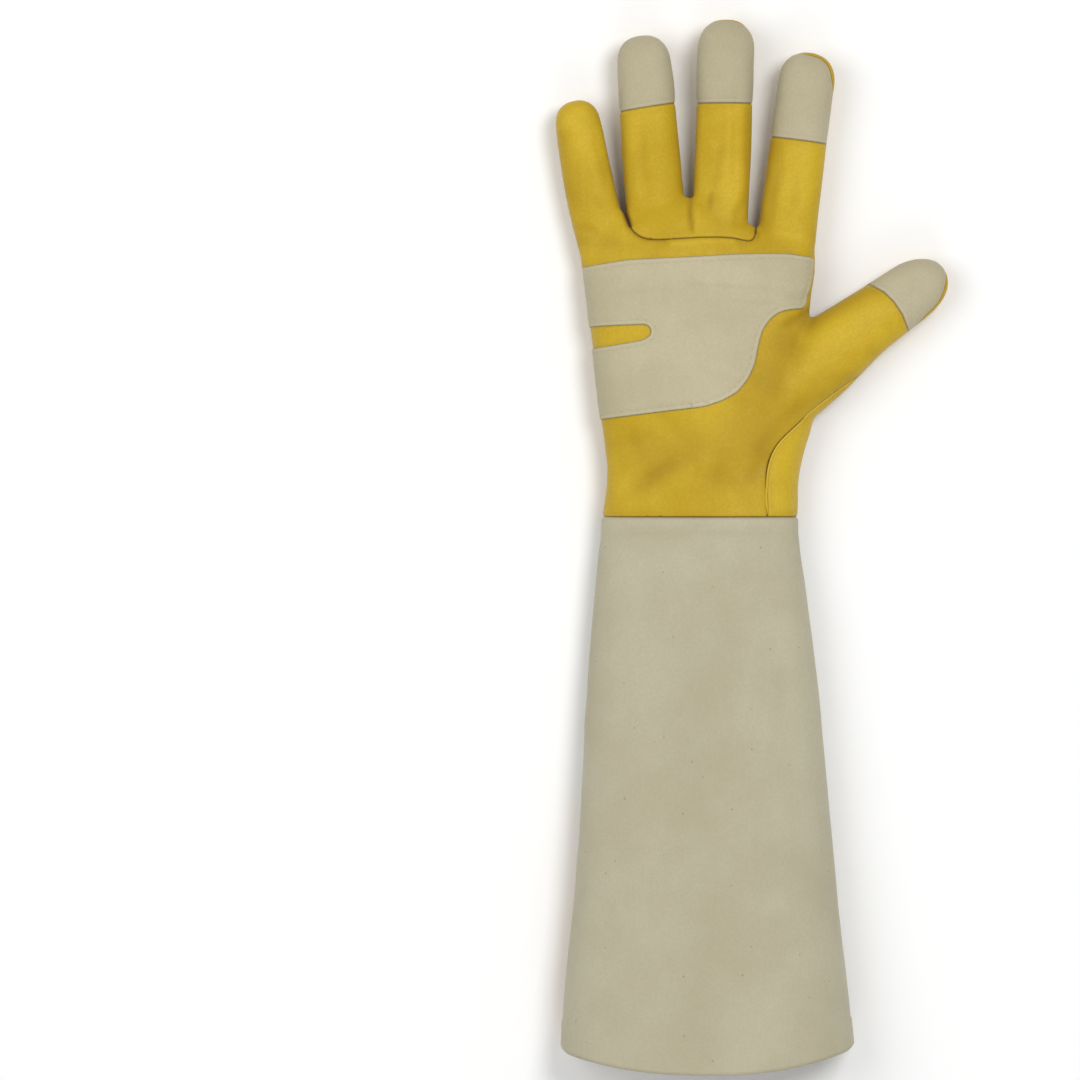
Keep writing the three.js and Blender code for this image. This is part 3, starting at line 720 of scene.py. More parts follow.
def shape_skin(bm, distance, strength):
    """Rolls the seams in, puffs the panels and presses the folds."""
    co = np.array([v.co[:] for v in bm.verts])
    normal = np.array([out_of_skin(v.co)[:] for v in bm.verts])
    from_edge = 1 - np.minimum(distance / ROLL_WIDTH, 1)
    roll = ROLL_DEPTH * (0.25 + 0.75 * strength) * (1 - np.sqrt(1 - from_edge ** 2))
    puff = PUFF_HEIGHT * (1 - np.exp(-distance / PUFF_REACH)) + slack(co) * np.clip(distance / 4, 0, 1)
    folds = fold_depth(co)
    moved = co + normal * (puff - roll - folds)[:, None]
    moved[:, 2] = np.maximum(moved[:, 2] + gather_rise(co) + tuck_under(co), 0.05)
    return co, moved, folds


flat_skin, shaped, creases = shape_skin(hand, near, strength)
for vert, point in zip(hand.verts, shaped):
    vert.co = point
hand_skin = BVHTree.FromBMesh(hand)
print("deepest move, mm:", round(float(np.abs(shaped - flat_skin).max()), 2))

# %% [markdown]
# ## Strokes of painted shade and highlight
# The leather is painted a little darker where it folds, lies pressed or lies in shade, and lighter where it
# stands up into the light. Each panel gets a few soft strokes, placed as seen from above. They are kept
# on the mesh as the attribute tone, and every leather mixes in its deep or its light colour by it. The
# material's nodes could draw the strokes too, but they would need a distance formula for each line.

# %% Where each panel is painted darker or lighter
# Path, reach and strength of each stroke of painted shade. A negative strength is a painted highlight.
SHADE_AND_HIGHLIGHT_STROKES = {
    "palm_panel": [
        ([(-40, 38), (-22, 40), (-2, 36)], 13, 0.34),
        ([(14, 88), (8, 74), (2, 60)], 11, 0.28),
        ([(28, 83), (44, 90), (58, 97)], 7, -0.05),
        ([(-6, 52), (4, 48)], 8, 0.15),
        ([(-58, 36), (-56, 28)], 5, -0.2),
        ([(-70, 165), (-67, 150)], 5, 0.1),
        ([(25, 96), (38, 103), (53, 111)], 4, 0.4),
        ([(4, 42), (12, 53), (24, 61), (42, 72)], 5, 0.28),
        ([(4, 72), (10, 68)], 6, 0.18),
        ([(29, 87), (38, 91)], 5, -0.2),
        ([(14, 94), (13, 86)], 4, 0.15),
        ([(11, 172), (7, 150), (5, 138)], 3.6, 0.25),
        ([(24, 166), (21, 140)], 5, -0.05),
        ([(-76, 186), (-71, 170)], 5.5, -0.4),
        # painted shadow down in the fork between the little and ring fingers, as dark as the seam
        ([(-54.4, 145.6), (-53.3, 141.4), (-52.2, 138)], 1.25, 2.2),
        ([(-80.5, 176), (-76, 148)], 3.6, 0.25),
        ([(-76, 132), (-60, 131)], 3.4, 0.25),
        ([(14, 134), (24, 131)], 2.4, -0.3),
        (GUSSET_SEAM, 0.8, 0.25),
        ([(-62, 127.5), (12, 128.5)], 5, 0.14),
        ([(-34, 129.8), (-22, 130.8), (-8, 130.8)], 1.0, -0.5),
        ([(-52, 136), (-49.5, 133.4), (-45.6, 131.6), (-37, 131.2)], 0.8, 0.6),
    ],
    "middle_ring_front": [
        ([(-21.6, 190), (-22.2, 152)], 2.8, -0.5),
        ([(-8, 188), (-7, 150)], 3.2, -0.35),
        ([(-1.6, 186), (-2.6, 148)], 2.2, 0.2),
        ([(-54.2, 184), (-53.2, 146)], 1.8, 0.1),
        ([(-41, 164), (-38, 143)], 5, -0.1),
        # painted shadow down in the fork between the little and ring fingers, as dark as the seam
        ([(-54.4, 145.6), (-53.3, 141.4), (-52.2, 138)], 1.25, 2.2),
        ([(-17, 148), (-15, 138)], 4, 0.2),
        ([(-25.6, 149.5), (-26.1, 144), (-25.4, 136)], 0.8, 0.5),
        ([(-17.2, 150.6), (-17.6, 145)], 0.9, 0.25),
    ],
    "side_gusset": [
        ([(14, 14), (14, 40), (24, 52)], 8, -0.2),
        ([(28, 96), (26, 66), (21, 36)], 9, 1.0),
        ([(38, 84), (48, 70)], 4, 0.3),
        ([(33, 61), (46, 73)], 2.5, 0.8),
        (GUSSET_SEAM[:8], 1.3, -0.5),
    ],
    "thumb_back": [
        ([(50, 118), (36, 104), (28, 98)], 9, 0.9),
        ([(37, 92), (45, 80), (50, 68)], 5, 0.45),
        ([(66, 108), (52, 92)], 5, -0.2),
    ],
    "back_panel": [
        ([(15, 58), (17, 86)], 6, 0.25),
        ([(8, 102), (6, 112)], 6, 0.25),
        ([(-36, 84), (-46, 108), (-45, 150)], 8, -0.2),
        ([(-19, 31), (4, 33)], 5, 0.2),
        ([(-58, 24), (10, 22)], 6, -0.15),
    ],
    "tip_patch_middle": [([(-10, 196), (-10, 216)], 14, 0.22)],
    "tip_patch_ring": [([(-46, 194), (-47, 210)], 14, 0.2)],
    "palm_patch": [
        ([(-68, 112), (-62, 62)], 9, 0.2),
        ([(-26, 112.4), (14, 110)], 0.9, 0.14),
        ([(-8, 105), (12, 103.6)], 0.8, 0.12),
        ([(-60, 108), (-34, 110)], 0.9, 0.1),
        ([(-25.8, 60.9), (-25.6, 59.9)], 0.5, 0.9),
        ([(-19.5, 61.5), (-18.7, 61.8)], 0.5, 0.9),
        ([(-15.9, 62.8), (-12.7, 64.4)], 0.5, 0.4),
        ([(-22, 60.9), (-13, 63.3), (-6.6, 67.6)], 0.9, -0.4),
        ([(-9.9, 65.7), (-9.5, 66)], 0.5, 0.6),
    ],
    "cuff": [
        ([(-24, -50), (-22, -205)], 22, 0.22),
        ([(-50, 7), (6, 7)], 3, 0.2),
        ([(-64, 10.9), (20, 10.9)], 0.8, -0.2),
    ],
}


def painted_shade_of(panel, co, creases):
    """How much painted shade a point gets, from its creases and from the strokes of painted shade; below zero
    it is a painted highlight.
    """
    # Creases give painted shade, and ridges, where creases are below zero, a painted highlight.
    tone = 0.6 * np.clip(creases / 2.0, -0.5, 1) + np.zeros(len(co))
    for path, reach, amount in SHADE_AND_HIGHLIGHT_STROKES.get(panel, []):
        side = np.ones(len(co))
        if panel == "side_gusset":
            # The gusset shows on both sides: painted highlights lie on its palm side and painted shade on its
            # back.
            side = co[:, 2] > SIDE_LEVEL if amount < 0 else co[:, 2] < SIDE_LEVEL
        tone += side * amount * stroke(co[:, :2], path, reach, 0)
    return tone


print("strokes of tone:", sum(len(strokes) for strokes in SHADE_AND_HIGHLIGHT_STROKES.values()))

# %% [markdown]
# ## Leather
# Smooth grain leather shows three things at once: a fine pebbled grain that only catches the light,
# cloudy changes of tone where hands and dye have left more or less colour, and darker colour down in the
# seams, with painted shade beside them and a painted highlight on each rolled edge. Each is a node
# group, so that the yellow, the cream and the golden leather use the same grain with their own values.

# %% Node helpers
def group_with(name, inputs, outputs):
    """A node group with the named inputs and outputs, and its two end nodes."""
    group = bpy.data.node_groups.new(name, "ShaderNodeTree")
    for label, kind, value in inputs:
        socket = group.interface.new_socket(label, in_out="INPUT", socket_type="NodeSocket" + kind)
        if value is not None:
            socket.default_value = value
    for label, kind in outputs:
        group.interface.new_socket(label, in_out="OUTPUT", socket_type="NodeSocket" + kind)
    return group, group.nodes.new("NodeGroupInput"), group.nodes.new("NodeGroupOutput")


def add(tree, kind, settings=(), **values):
    """A node of that kind, with its settings and the values of its inputs. A socket as a value is linked."""
    node = tree.nodes.new("ShaderNode" + kind)
    for name, value in dict(settings).items():
        setattr(node, name, value)
    for name, value in values.items():
        socket = node.inputs[int(name[1:]) if name[1:].isdigit() else name.replace("_", " ")]
        if isinstance(value, bpy.types.NodeSocket):
            tree.links.new(value, socket)
        else:
            socket.default_value = value
    return node


def calc(tree, operation, a, b=0.0, c=0.0, clamp=False):
    """The result of a math node."""
    return add(tree, "Math", {"operation": operation, "use_clamp": clamp}, _0=a, _1=b, _2=c).outputs[0]


def steps(tree, value, low, high, start=0.0, end=1.0):
    """The start value below low, the end value above high and smooth between."""
    return add(tree, "MapRange", {"interpolation_type": "SMOOTHSTEP"}, Value=value,
               From_Min=low, From_Max=high, To_Min=start, To_Max=end).outputs[0]


# %% Grain: fine pebbles and pores, as a normal
grain, start, end = group_with(
    "leather grain",
    [("Coordinates", "Vector", None), ("Pebble mm", "Float", 1.1), ("Depth mm", "Float", 0.04)],
    [("Normal", "Vector"), ("Pores", "Float")])
place = start.outputs["Coordinates"]
scale = calc(grain, "DIVIDE", 1000.0, start.outputs["Pebble mm"])
cells = add(grain, "TexVoronoi", {"feature": "SMOOTH_F1"}, Vector=place, Scale=scale, Smoothness=0.5)
fine = add(grain, "TexNoise", Vector=place, Scale=calc(grain, "MULTIPLY", scale, 2.3), Detail=3.0)
coarse = add(grain, "TexNoise", Vector=place, Scale=calc(grain, "MULTIPLY", scale, 0.22), Detail=2.0)
pebbles = calc(grain, "MULTIPLY", cells.outputs["Distance"], -0.9)
height = calc(grain, "ADD", pebbles, calc(grain, "MULTIPLY", fine.outputs[0], 0.6))
height = calc(grain, "MULTIPLY_ADD", coarse.outputs[0], 1.4, height)
depth = calc(grain, "MULTIPLY", start.outputs["Depth mm"], MM)
bump = add(grain, "Bump", Strength=1.0, Distance=depth, Height=height)
grain.links.new(bump.outputs[0], end.inputs["Normal"])
grain.links.new(steps(grain, cells.outputs["Distance"], 0.25, 0.6), end.inputs["Pores"])

# %% Clouding: slow changes of tone, and thin drawn streaks along the hand
clouding, start, end = group_with(
    "leather clouding",
    [("Coordinates", "Vector", None), ("Patch mm", "Float", 32.0)],
    [("Cloud", "Float"), ("Streak", "Float"), ("Speck", "Float")])
place = start.outputs["Coordinates"]
scale = calc(clouding, "DIVIDE", 1000.0, start.outputs["Patch mm"])
big = add(clouding, "TexNoise", Vector=place, Scale=scale, Detail=2.0, Roughness=0.45)
small = add(clouding, "TexNoise", Vector=place, Scale=calc(clouding, "MULTIPLY", scale, 4.5), Detail=3.0)
mostly_big = calc(clouding, "MULTIPLY", big.outputs[0], 0.78)
mixed = calc(clouding, "MULTIPLY_ADD", small.outputs[0], 0.22, mostly_big)
clouding.links.new(steps(clouding, mixed, 0.36, 0.66), end.inputs["Cloud"])
drawn = add(clouding, "Mapping", Vector=place, Scale=(330.0, 26.0, 330.0))
streaks = add(clouding, "TexNoise", Vector=drawn.outputs[0], Scale=1.0, Detail=3.0)
clouding.links.new(steps(clouding, streaks.outputs[0], 0.56, 0.78), end.inputs["Streak"])
specks = add(clouding, "TexVoronoi", Vector=place, Scale=240.0, Randomness=1.0)
chance = add(clouding, "SeparateColor", Color=specks.outputs["Color"]).outputs[0]
seldom = calc(clouding, "GREATER_THAN", chance, 0.86)
dot = calc(clouding, "SUBTRACT", 1.0, steps(clouding, specks.outputs["Distance"], 0.06, 0.13))
clouding.links.new(calc(clouding, "MULTIPLY", seldom, dot), end.inputs["Speck"])

# %% Seams: the dark line in the groove, painted shade beside it, and a painted highlight on the rolled edge
grooves, start, end = group_with(
    "leather grooves",
    [("Distance mm", "Float", 10.0), ("Strength", "Float", 1.0), ("Line mm", "Float", 0.7)],
    [("Line", "Float"), ("Shade", "Float"), ("Lip highlight", "Float")])
SHADE_REACH = 4.0
far, strength_in, line_end = (start.outputs[name] for name in ("Distance mm", "Strength", "Line mm"))
line = steps(grooves, far, calc(grooves, "MULTIPLY", line_end, 0.35), line_end, 1.0, 0.0)
# painted shade within a few millimetres of the seam
shade = steps(grooves, far, 0.0, SHADE_REACH, 1.0, 0.0)
softer = calc(grooves, "MULTIPLY_ADD", strength_in, 0.6, 0.4)
# a painted highlight on the rolled edge, 0.3 to 2 mm from the seam
lip_highlight = calc(grooves, "SUBTRACT", steps(grooves, far, 0.3, 0.7), steps(grooves, far, 1.0, 2.0))
grooves.links.new(calc(grooves, "MULTIPLY", line, strength_in), end.inputs["Line"])
grooves.links.new(calc(grooves, "MULTIPLY", shade, softer), end.inputs["Shade"])
grooves.links.new(lip_highlight, end.inputs["Lip highlight"])


# %% One leather from the three effects
def linear(rgb):
    """A colour given in 0 to 255 as the eye sees it, for a shader."""
    return [((v / 255 + 0.055) / 1.055) ** 2.4 if v > 10 else v / 255 / 12.92 for v in rgb] + [1.0]


def leather(name, light, mid, deep, seam, roughness=0.55, pebble=1.1, depth=0.04, specks=0.0, streaks=0.1,
            line=0.7, lip_highlight=0.12):
    """A leather material. Light, mid and deep are its tones, and seam the colour down in the seams. Deep also
    gives the painted shade, and seam the darkest painted shadow.
    """
    # pale is the colour of the painted highlights, and deep is also that of the painted shade
    pale = linear([v + 14 for v in light])
    light, mid, deep, seam = (linear(tone) for tone in (light, mid, deep, seam))
    material = bpy.data.materials.new(name)
    material.use_nodes = True
    tree = material.node_tree
    shader = tree.nodes["Principled BSDF"]
    place = add(tree, "TexCoord").outputs["Object"]
    surface = add(tree, "Group", {"node_tree": grain}, Coordinates=place, Pebble_mm=pebble, Depth_mm=depth)
    tone = add(tree, "Group", {"node_tree": clouding}, Coordinates=place)
    far = add(tree, "Attribute", {"attribute_name": "seam_mm"})
    strong = add(tree, "Attribute", {"attribute_name": "seam_strength"})
    groove = add(tree, "Group", {"node_tree": grooves}, Distance_mm=far.outputs["Fac"],
                 Strength=strong.outputs["Fac"], Line_mm=line)

    def blend(factor, a, b):
        """Colour b over colour a, by a factor."""
        node = add(tree, "Mix", {"data_type": "RGBA"})
        for socket, value in ((node.inputs["Factor"], factor), (node.inputs[6], a), (node.inputs[7], b)):
            if isinstance(value, bpy.types.NodeSocket):
                tree.links.new(value, socket)
            else:
                socket.default_value = value
        return node.outputs[2]

    # tone holds painted shade and highlights: above 0 toward deep, above 1 toward the seam colour as a
    # painted shadow, below 0 toward pale as a painted highlight
    painted = add(tree, "Attribute", {"attribute_name": "tone"}).outputs["Fac"]
    colour = blend(tone.outputs["Cloud"], mid, light)
    colour = blend(calc(tree, "MULTIPLY", painted, 1.0, clamp=True), colour, deep)
    colour = blend(calc(tree, "SUBTRACT", painted, 1.0, clamp=True), colour, seam)
    colour = blend(calc(tree, "MULTIPLY", painted, -1.0, clamp=True), colour, pale)
    # Shade adds painted shade beside the seams, and the rolled edge gets its painted highlight; streaks,
    # pores, specks and the seam line are the leather's own
    effects = [
        (tone.outputs["Streak"], streaks, deep),
        (surface.outputs["Pores"], 0.12, deep),
        (groove.outputs["Shade"], 0.24, deep),
        (groove.outputs["Lip highlight"], lip_highlight, pale),
        (tone.outputs["Speck"], specks, seam),
        (groove.outputs["Line"], 0.85, seam),
    ]
    for effect, share, other in effects:
        if share:
            colour = blend(calc(tree, "MULTIPLY", effect, share), colour, other)
    tree.links.new(colour, shader.inputs["Base Color"])
    rough = calc(tree, "MULTIPLY_ADD", tone.outputs["Cloud"], -0.08, roughness + 0.04)
    rough = calc(tree, "MULTIPLY_ADD", surface.outputs["Pores"], 0.08, rough)
    tree.links.new(rough, shader.inputs["Roughness"])
    tree.links.new(surface.outputs["Normal"], shader.inputs["Normal"])
    shader.inputs["Specular IOR Level"].default_value = 0.28
    shader.inputs["Sheen Weight"].default_value = 0.08
    shader.inputs["Sheen Roughness"].default_value = 0.5
    return material


# %% The leathers of this glove
YELLOW = leather("yellow grain leather", (201, 169, 32), (188, 155, 18), (148, 114, 8), (74, 44, 8), line=0.6)
YELLOW_BACK = leather("yellow back leather", (199, 166, 32), (185, 152, 18), (144, 110, 8), (74, 44, 8))
CREAM = leather("cream palm leather", (189, 180, 150), (182, 173, 142), (156, 146, 113), (92, 72, 40),
                roughness=0.6, streaks=0.06, line=0.6, lip_highlight=0.25)
CREAM_TIP = leather("cream fingertip leather", (186, 177, 149), (178, 169, 140), (150, 139, 104),
                    (82, 62, 32), roughness=0.6, streaks=0.06, lip_highlight=0.3)
CREAM_CUFF = leather("cream cuff leather", (184, 178, 153), (178, 171, 145), (156, 148, 120), (112, 92, 56),
                     roughness=0.64, pebble=1.3, depth=0.03, specks=0.5, streaks=0.05)
GOLD = leather("golden binding leather", (214, 166, 40), (200, 150, 26), (160, 112, 16), (90, 56, 12),
               roughness=0.5, pebble=0.8)
WELT = leather("rolled welt leather", (206, 176, 48), (194, 162, 34), (152, 118, 16), (70, 44, 12),
               roughness=0.5, pebble=0.8)
THREAD = leather("cream thread", (194, 186, 156), (186, 178, 147), (158, 148, 114), (120, 100, 66),
                 roughness=0.75, pebble=0.35, depth=0.03)
print("leathers:", [m.name for m in (YELLOW, YELLOW_BACK, CREAM, CREAM_TIP, CREAM_CUFF, GOLD, WELT, THREAD)])

# %% [markdown]
# ## Finishing a piece
# Every piece ends the same way: its points are turned into metres, what the leathers read is kept on the
# mesh, and a sheet of leather gets its thickness inwards by a Solidify modifier, because the shaped skin
# is its outside.

# %% Finishing a piece
HAND_LEATHER, PATCH_LEATHER, CUFF_LEATHER = 1.3, 0.9, 1.6


def finish(bm, name, material, nodes=(), thickness=0.0, distance=None, strength=None, tone=None,
           curl=True):
    """Makes a piece from a mesh in millimetres: it curls with the fingertips, and rides on the glove."""
    mesh = bpy.data.meshes.new(name)
    for vert in bm.verts:
        if curl:
            vert.co.z += lift(vert.co.y)
        vert.co *= MM
    bm.normal_update()
    bm.to_mesh(mesh)
    # tone holds painted shade, and painted highlights where it is below zero
    kept = [("seam_mm", distance, 10.0), ("seam_strength", strength, 0.0), ("tone", tone, 0.0)]
    for label, values, plain in kept:
        if values is None:
            values = np.full(len(mesh.vertices), plain)
        mesh.attributes.new(label, "FLOAT", "POINT").data.foreach_set("value", np.asarray(values, float))
    bm.free()
    mesh.shade_smooth()
    piece = bpy.data.objects.new(name, mesh)
    bpy.context.scene.collection.objects.link(piece)
    piece.data.materials.append(material)
    if thickness:
        wall = piece.modifiers.new("leather thickness", "SOLIDIFY")
        wall.thickness = thickness * MM
        wall.offset = -1
    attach(piece, "root")
    if nodes:
        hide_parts(*nodes)
    return piece


# %% [markdown]
# ## The panels of the hand
# Every panel is a copy of its own faces of the skin, given the thickness of glove leather inwards. The
# fingertip patches are cream, the rest is yellow.

# %% Cutting the skin into its panels
original = hand.verts.layers.int.new("original")
for k, vert in enumerate(hand.verts):
    vert[original] = k


def cut_out(bm, wanted):
    """A copy of the wanted faces, with each point's number in the whole skin."""
    copy = bm.copy()
    layer = copy.faces.layers.int["panel"]
    bmesh.ops.delete(copy, geom=[f for f in copy.faces if not wanted(f, layer)], context="FACES")
    number = copy.verts.layers.int["original"]
    return copy, [v[number] for v in copy.verts]


for k, panel in enumerate(panels):
    piece, numbers = cut_out(hand, lambda f, layer, k=k: f[layer] == k)
    if panel.startswith("tip_patch"):
        material, slot = CREAM_TIP, "cream_leather"
    else:
        material, slot = (YELLOW_BACK if panel in ("back_panel", "thumb_back") else YELLOW), "yellow_leather"
    # each panel keeps its painted shade and highlights, from its creases and strokes, as the attribute tone
    made = finish(piece, "leather_" + panel, material, [panel], HAND_LEATHER, near[numbers],
                  strength[numbers], painted_shade_of(panel, flat_skin[numbers], creases[numbers]))
    print(panel, len(made.data.polygons), "faces")

# %% [markdown]
# ## The palm patch
# A second layer of cream leather is sewn onto the palm, with a notch on the little finger side. It
# follows the folds of the palm below it, so it starts as a copy of that skin, is trimmed to its own
# outline and stands a little over one millimetre proud, with a rounded cut edge.

# %% Trimming the patch
def on_patch(x, y, z):
    """Whether a point of the palm lies under the patch, as the name of its owner."""
    return "patch" if z > SIDE_LEVEL + 1 and inside(PALM_PATCH, x, y) else "rest"


patch = hand.copy()
for vert, point in zip(patch.verts, flat_skin):
    vert.co = point
far_off = [f for f in patch.faces if not 45 < f.calc_center_median().y < 135]
bmesh.ops.delete(patch, geom=far_off, context="FACES")
patch.faces.layers.int.remove(patch.faces.layers.int["panel"])
order = divide(patch, on_patch)
layer = patch.faces.layers.int["panel"]
bmesh.ops.delete(patch, geom=[f for f in patch.faces if order[f[layer]] == "rest"], context="FACES")
to_rim = seam_finder(patch, order)
finer_beside(patch, to_rim(patch)[0], 2.0)
loose = [v for v in patch.verts if not v.link_faces]
bmesh.ops.delete(patch, geom=loose, context="VERTS")
print("loose points taken out of the patch:", len(loose))
rim, rim_strength = to_rim(patch)
side, side_strength = to_seam(patch)
_, lie, patch_creases = shape_skin(patch, side, side_strength)

# %% Raising the patch off the palm, with a round edge and a ditch where it is sewn
PATCH_HEIGHT, PATCH_EDGE, PATCH_FOOT = 1.1, 1.1, 0.15
STITCH_INSET, DITCH_DEPTH, DITCH_WIDTH = 2.2, 0.22, 0.55
little_side = np.array([v.co.x < -50 for v in patch.verts])
# At the little finger the patch is sewn into the side seam, so it thins out there.
tucks = np.where(little_side, np.clip((side - 0.8) / 4, 0, 1), 1)
for vert, base, distance, tuck in zip(patch.verts, lie, rim, tucks):
    round_edge = math.sqrt(max(0, 1 - (1 - min(distance / PATCH_EDGE, 1)) ** 2))
    height = PATCH_FOOT + (PATCH_HEIGHT - PATCH_FOOT) * round_edge * (0.15 + 0.85 * tuck)
    ditch = DITCH_DEPTH * math.exp(-((distance - STITCH_INSET) / DITCH_WIDTH) ** 2) * tuck
    vert.co = Vector(base) + out_of_skin(vert.co) * (height - ditch)
print("palm patch:", len(patch.faces), "faces")

# %% Stitches round the patch
STITCH_STEP = 3.2


def outline_walk(outline, step, inset):
    """Places and directions along an outline, set in from it, seen from above."""
    points = [Vector(p) for p in outline]
    places = []
    spare = 0.0
    for a, b in zip(points, points[1:] + points[:1]):
        run = b - a
        along = run.normalized()
        at = spare
        while at < run.length:
            places.append((a + along * at + Vector((along.y, -along.x)) * inset, along))
            at += step
        spare = at - run.length
    return places


patch_skin = BVHTree.FromBMesh(patch)
stitches = bmesh.new()
for centre, along in outline_walk(PALM_PATCH, STITCH_STEP, STITCH_INSET):
    hit = patch_skin.ray_cast(Vector((centre.x, centre.y, 60)), Vector((0, 0, -1)))
    if hit[0] is None or not inside(PALM_PATCH, centre.x, centre.y) or hit[1].z < 0.35:
        continue
    turn = hit[1].to_track_quat("Z", "Y").to_matrix().to_4x4()
    flat = turn.inverted() @ Vector((along.x, along.y, 0))
    spin = Matrix.Rotation(math.atan2(flat.y, flat.x), 4, "Z")
    shape = Matrix.Translation(hit[0] - hit[1] * 0.05) @ turn @ spin @ Matrix.Diagonal((1.0, 0.26, 0.26, 1))
    bmesh.ops.create_icosphere(stitches, subdivisions=1, radius=1, matrix=shape)
count = len(stitches.verts) // 12
# the palm patch keeps painted shade and highlights from its creases and strokes
finish(patch, "leather_palm_patch", CREAM, ["palm_patch"], PATCH_LEATHER, rim,
       rim_strength * 0.35, painted_shade_of("palm_patch", lie, patch_creases))
finish(stitches, "palm_patch_stitches", THREAD)
print("stitches round the patch:", count)

# %% [markdown]
# ## Rolled welts
# Round the three forks on the back, and where the side gusset meets the palm, a narrow roll of leather is
# sewn into the seam to guard it. Each is a tube that follows the seam, lofted from small rings and closed
# at its ends.

# %% A tube along a seam
def even_path(path, step, smooth=6):
    """The path smoothed and given points at even steps."""
    for _ in range(smooth):
        path = [path[0]] + [(a + 2 * b + c) / 4 for a, b, c in zip(path, path[1:], path[2:])] + [path[-1]]
    lengths = np.concatenate([[0], np.cumsum([(b - a).length for a, b in zip(path, path[1:])])])
    places = np.linspace(0, lengths[-1], max(3, int(lengths[-1] / step)))
    table = np.array([p[:] for p in path])
    return [Vector([np.interp(place, lengths, table[:, k]) for k in range(3)]) for place in places]


def tube_rings(path, radius, sides=10):
    """Rings round a path that narrow to a point at both ends."""
    rings = []
    for k, point in enumerate(path):
        along = (path[min(k + 1, len(path) - 1)] - path[max(k - 1, 0)]).normalized()
        across = along.cross(hand_skin.find_nearest(point)[1]).normalized()
        out = across.cross(along).normalized()
        end = min(k, len(path) - 1 - k)
        size = radius * min(1, 0.25 + 0.75 * end / 4)
        rings.append([point + (across * math.cos(a) + out * math.sin(a)) * size
                      for a in np.arange(sides) / sides * math.tau])
    return rings


WELT_STEP = 1.2
# path, radius, how far the welt stands out of the skin
WELTS = [(path, 0.95, 0.3) for path in fork_paths] + [(gusset_path, 0.52, 0.2)]
welts = bmesh.new()
for path, radius, out in WELTS:
    route = []
    for point in even_path(path, WELT_STEP):
        place, normal = hand_skin.find_nearest(point)[:2]
        route.append(place + normal * out)
    route = even_path(route, WELT_STEP, 3)
    for point in route:
        point.z = max(point.z, radius + 0.05)
    add_tube(welts, tube_rings(route, radius))
bmesh.ops.recalc_face_normals(welts, faces=welts.faces)
print("welts:", len(WELTS), "with", len(welts.faces), "faces")
finish(welts, "rolled_welts", WELT)

# %% [markdown]
# ## The long cuff
# The cuff is one sheet of cream leather wrapped into a wide tube, open in a vent on the little finger
# side. It is made as a flat grid of leather that is wrapped round section after section, so its grain
# runs true and its edges stay clean. The edge of the palm layer stands a little proud of the back layer
# at the vent.

# %% Wrapping the sheet
CUFF_COLUMNS, CUFF_ROWS, LINE_POINTS = 150, 120, 721
# y of the rows that run on inside the hand, and how far each is drawn in
INSIDE_ROWS = [(WRIST_Y - 7, 0.0), (10.8, 0.0), (12.0, 0.4), (12.7, 1.6), (14.0, 2.1), (18.5, 2.4)]


def section_line(y, shrink):
    """A fine line of points round one section, from the vent over the palm side and back under it."""
    _, left, right, top = smooth_row(PALM if shrink > 2 else CUFF, y)
    half, middle = (right - left) / 2 - shrink, (right + left) / 2
    angles = math.pi - np.linspace(0, math.tau, LINE_POINTS)
    cosines, sines = np.cos(angles), np.sin(angles)
    wide, high = (np.sign(v) * np.abs(v) ** (2 / PALM_SQUARENESS) for v in (cosines, sines))
    up = np.where(sines > 0, top - SIDE_LEVEL - shrink, SIDE_LEVEL + 2 - shrink)
    line = np.stack([middle + half * wide, np.full(LINE_POINTS, y), SIDE_LEVEL + up * high], axis=1)
    line[:, 2] = np.maximum(line[:, 2], shrink)
    return line, middle, half


def vent_edges(y):
    """Heights of the palm layer's and the back layer's edges at the vent."""
    open_share = clamp01((VENT_TOP_Y - y) / (VENT_TOP_Y - VENT_FULL_Y))
    return VENT_Z + VENT_OPENING * 0.4 * open_share, VENT_Z - VENT_OPENING * 0.6 * open_share


def hem_rise(x, middle, half):
    """The hem is a curve: it rises toward both sides, a little more on the thumb side."""
    out = np.clip(np.abs(x - middle) / half, 0, 1)
    return np.where(x < middle, *HEM_RISE) * out ** 2.3 + 2.4 * np.clip((out - 0.93) / 0.07, 0, 1) ** 2


def cuff_row(y, shrink, columns):
    """Even points round the cuff at one section, from the vent's upper edge to its lower one."""
    line, middle, half = section_line(y, shrink)
    upper, lower = vent_edges(y)
    z = line[:, 2]
    halfway, end = LINE_POINTS // 2, LINE_POINTS - 1
    first = next(k for k in range(1, halfway) if z[k] >= upper) if upper > SIDE_LEVEL else 0
    last = next(k for k in range(end, halfway + 1, -1) if z[k] <= lower) if lower < VENT_Z - 0.05 else end
    if y >= VENT_TOP_Y:
        first, last = 0, end
    part = line[first:last + 1]
    lengths = np.concatenate([[0], np.cumsum(np.linalg.norm(np.diff(part, axis=0), axis=1))])
    places = np.linspace(0, lengths[-1], columns)
    row = np.stack([np.interp(places, lengths, part[:, k]) for k in range(3)], axis=1)
    near_hem = clamp01(1 - (y - HEM_Y) / 70)
    row[:, 1] += hem_rise(row[:, 0], middle, half) * near_hem
    return row


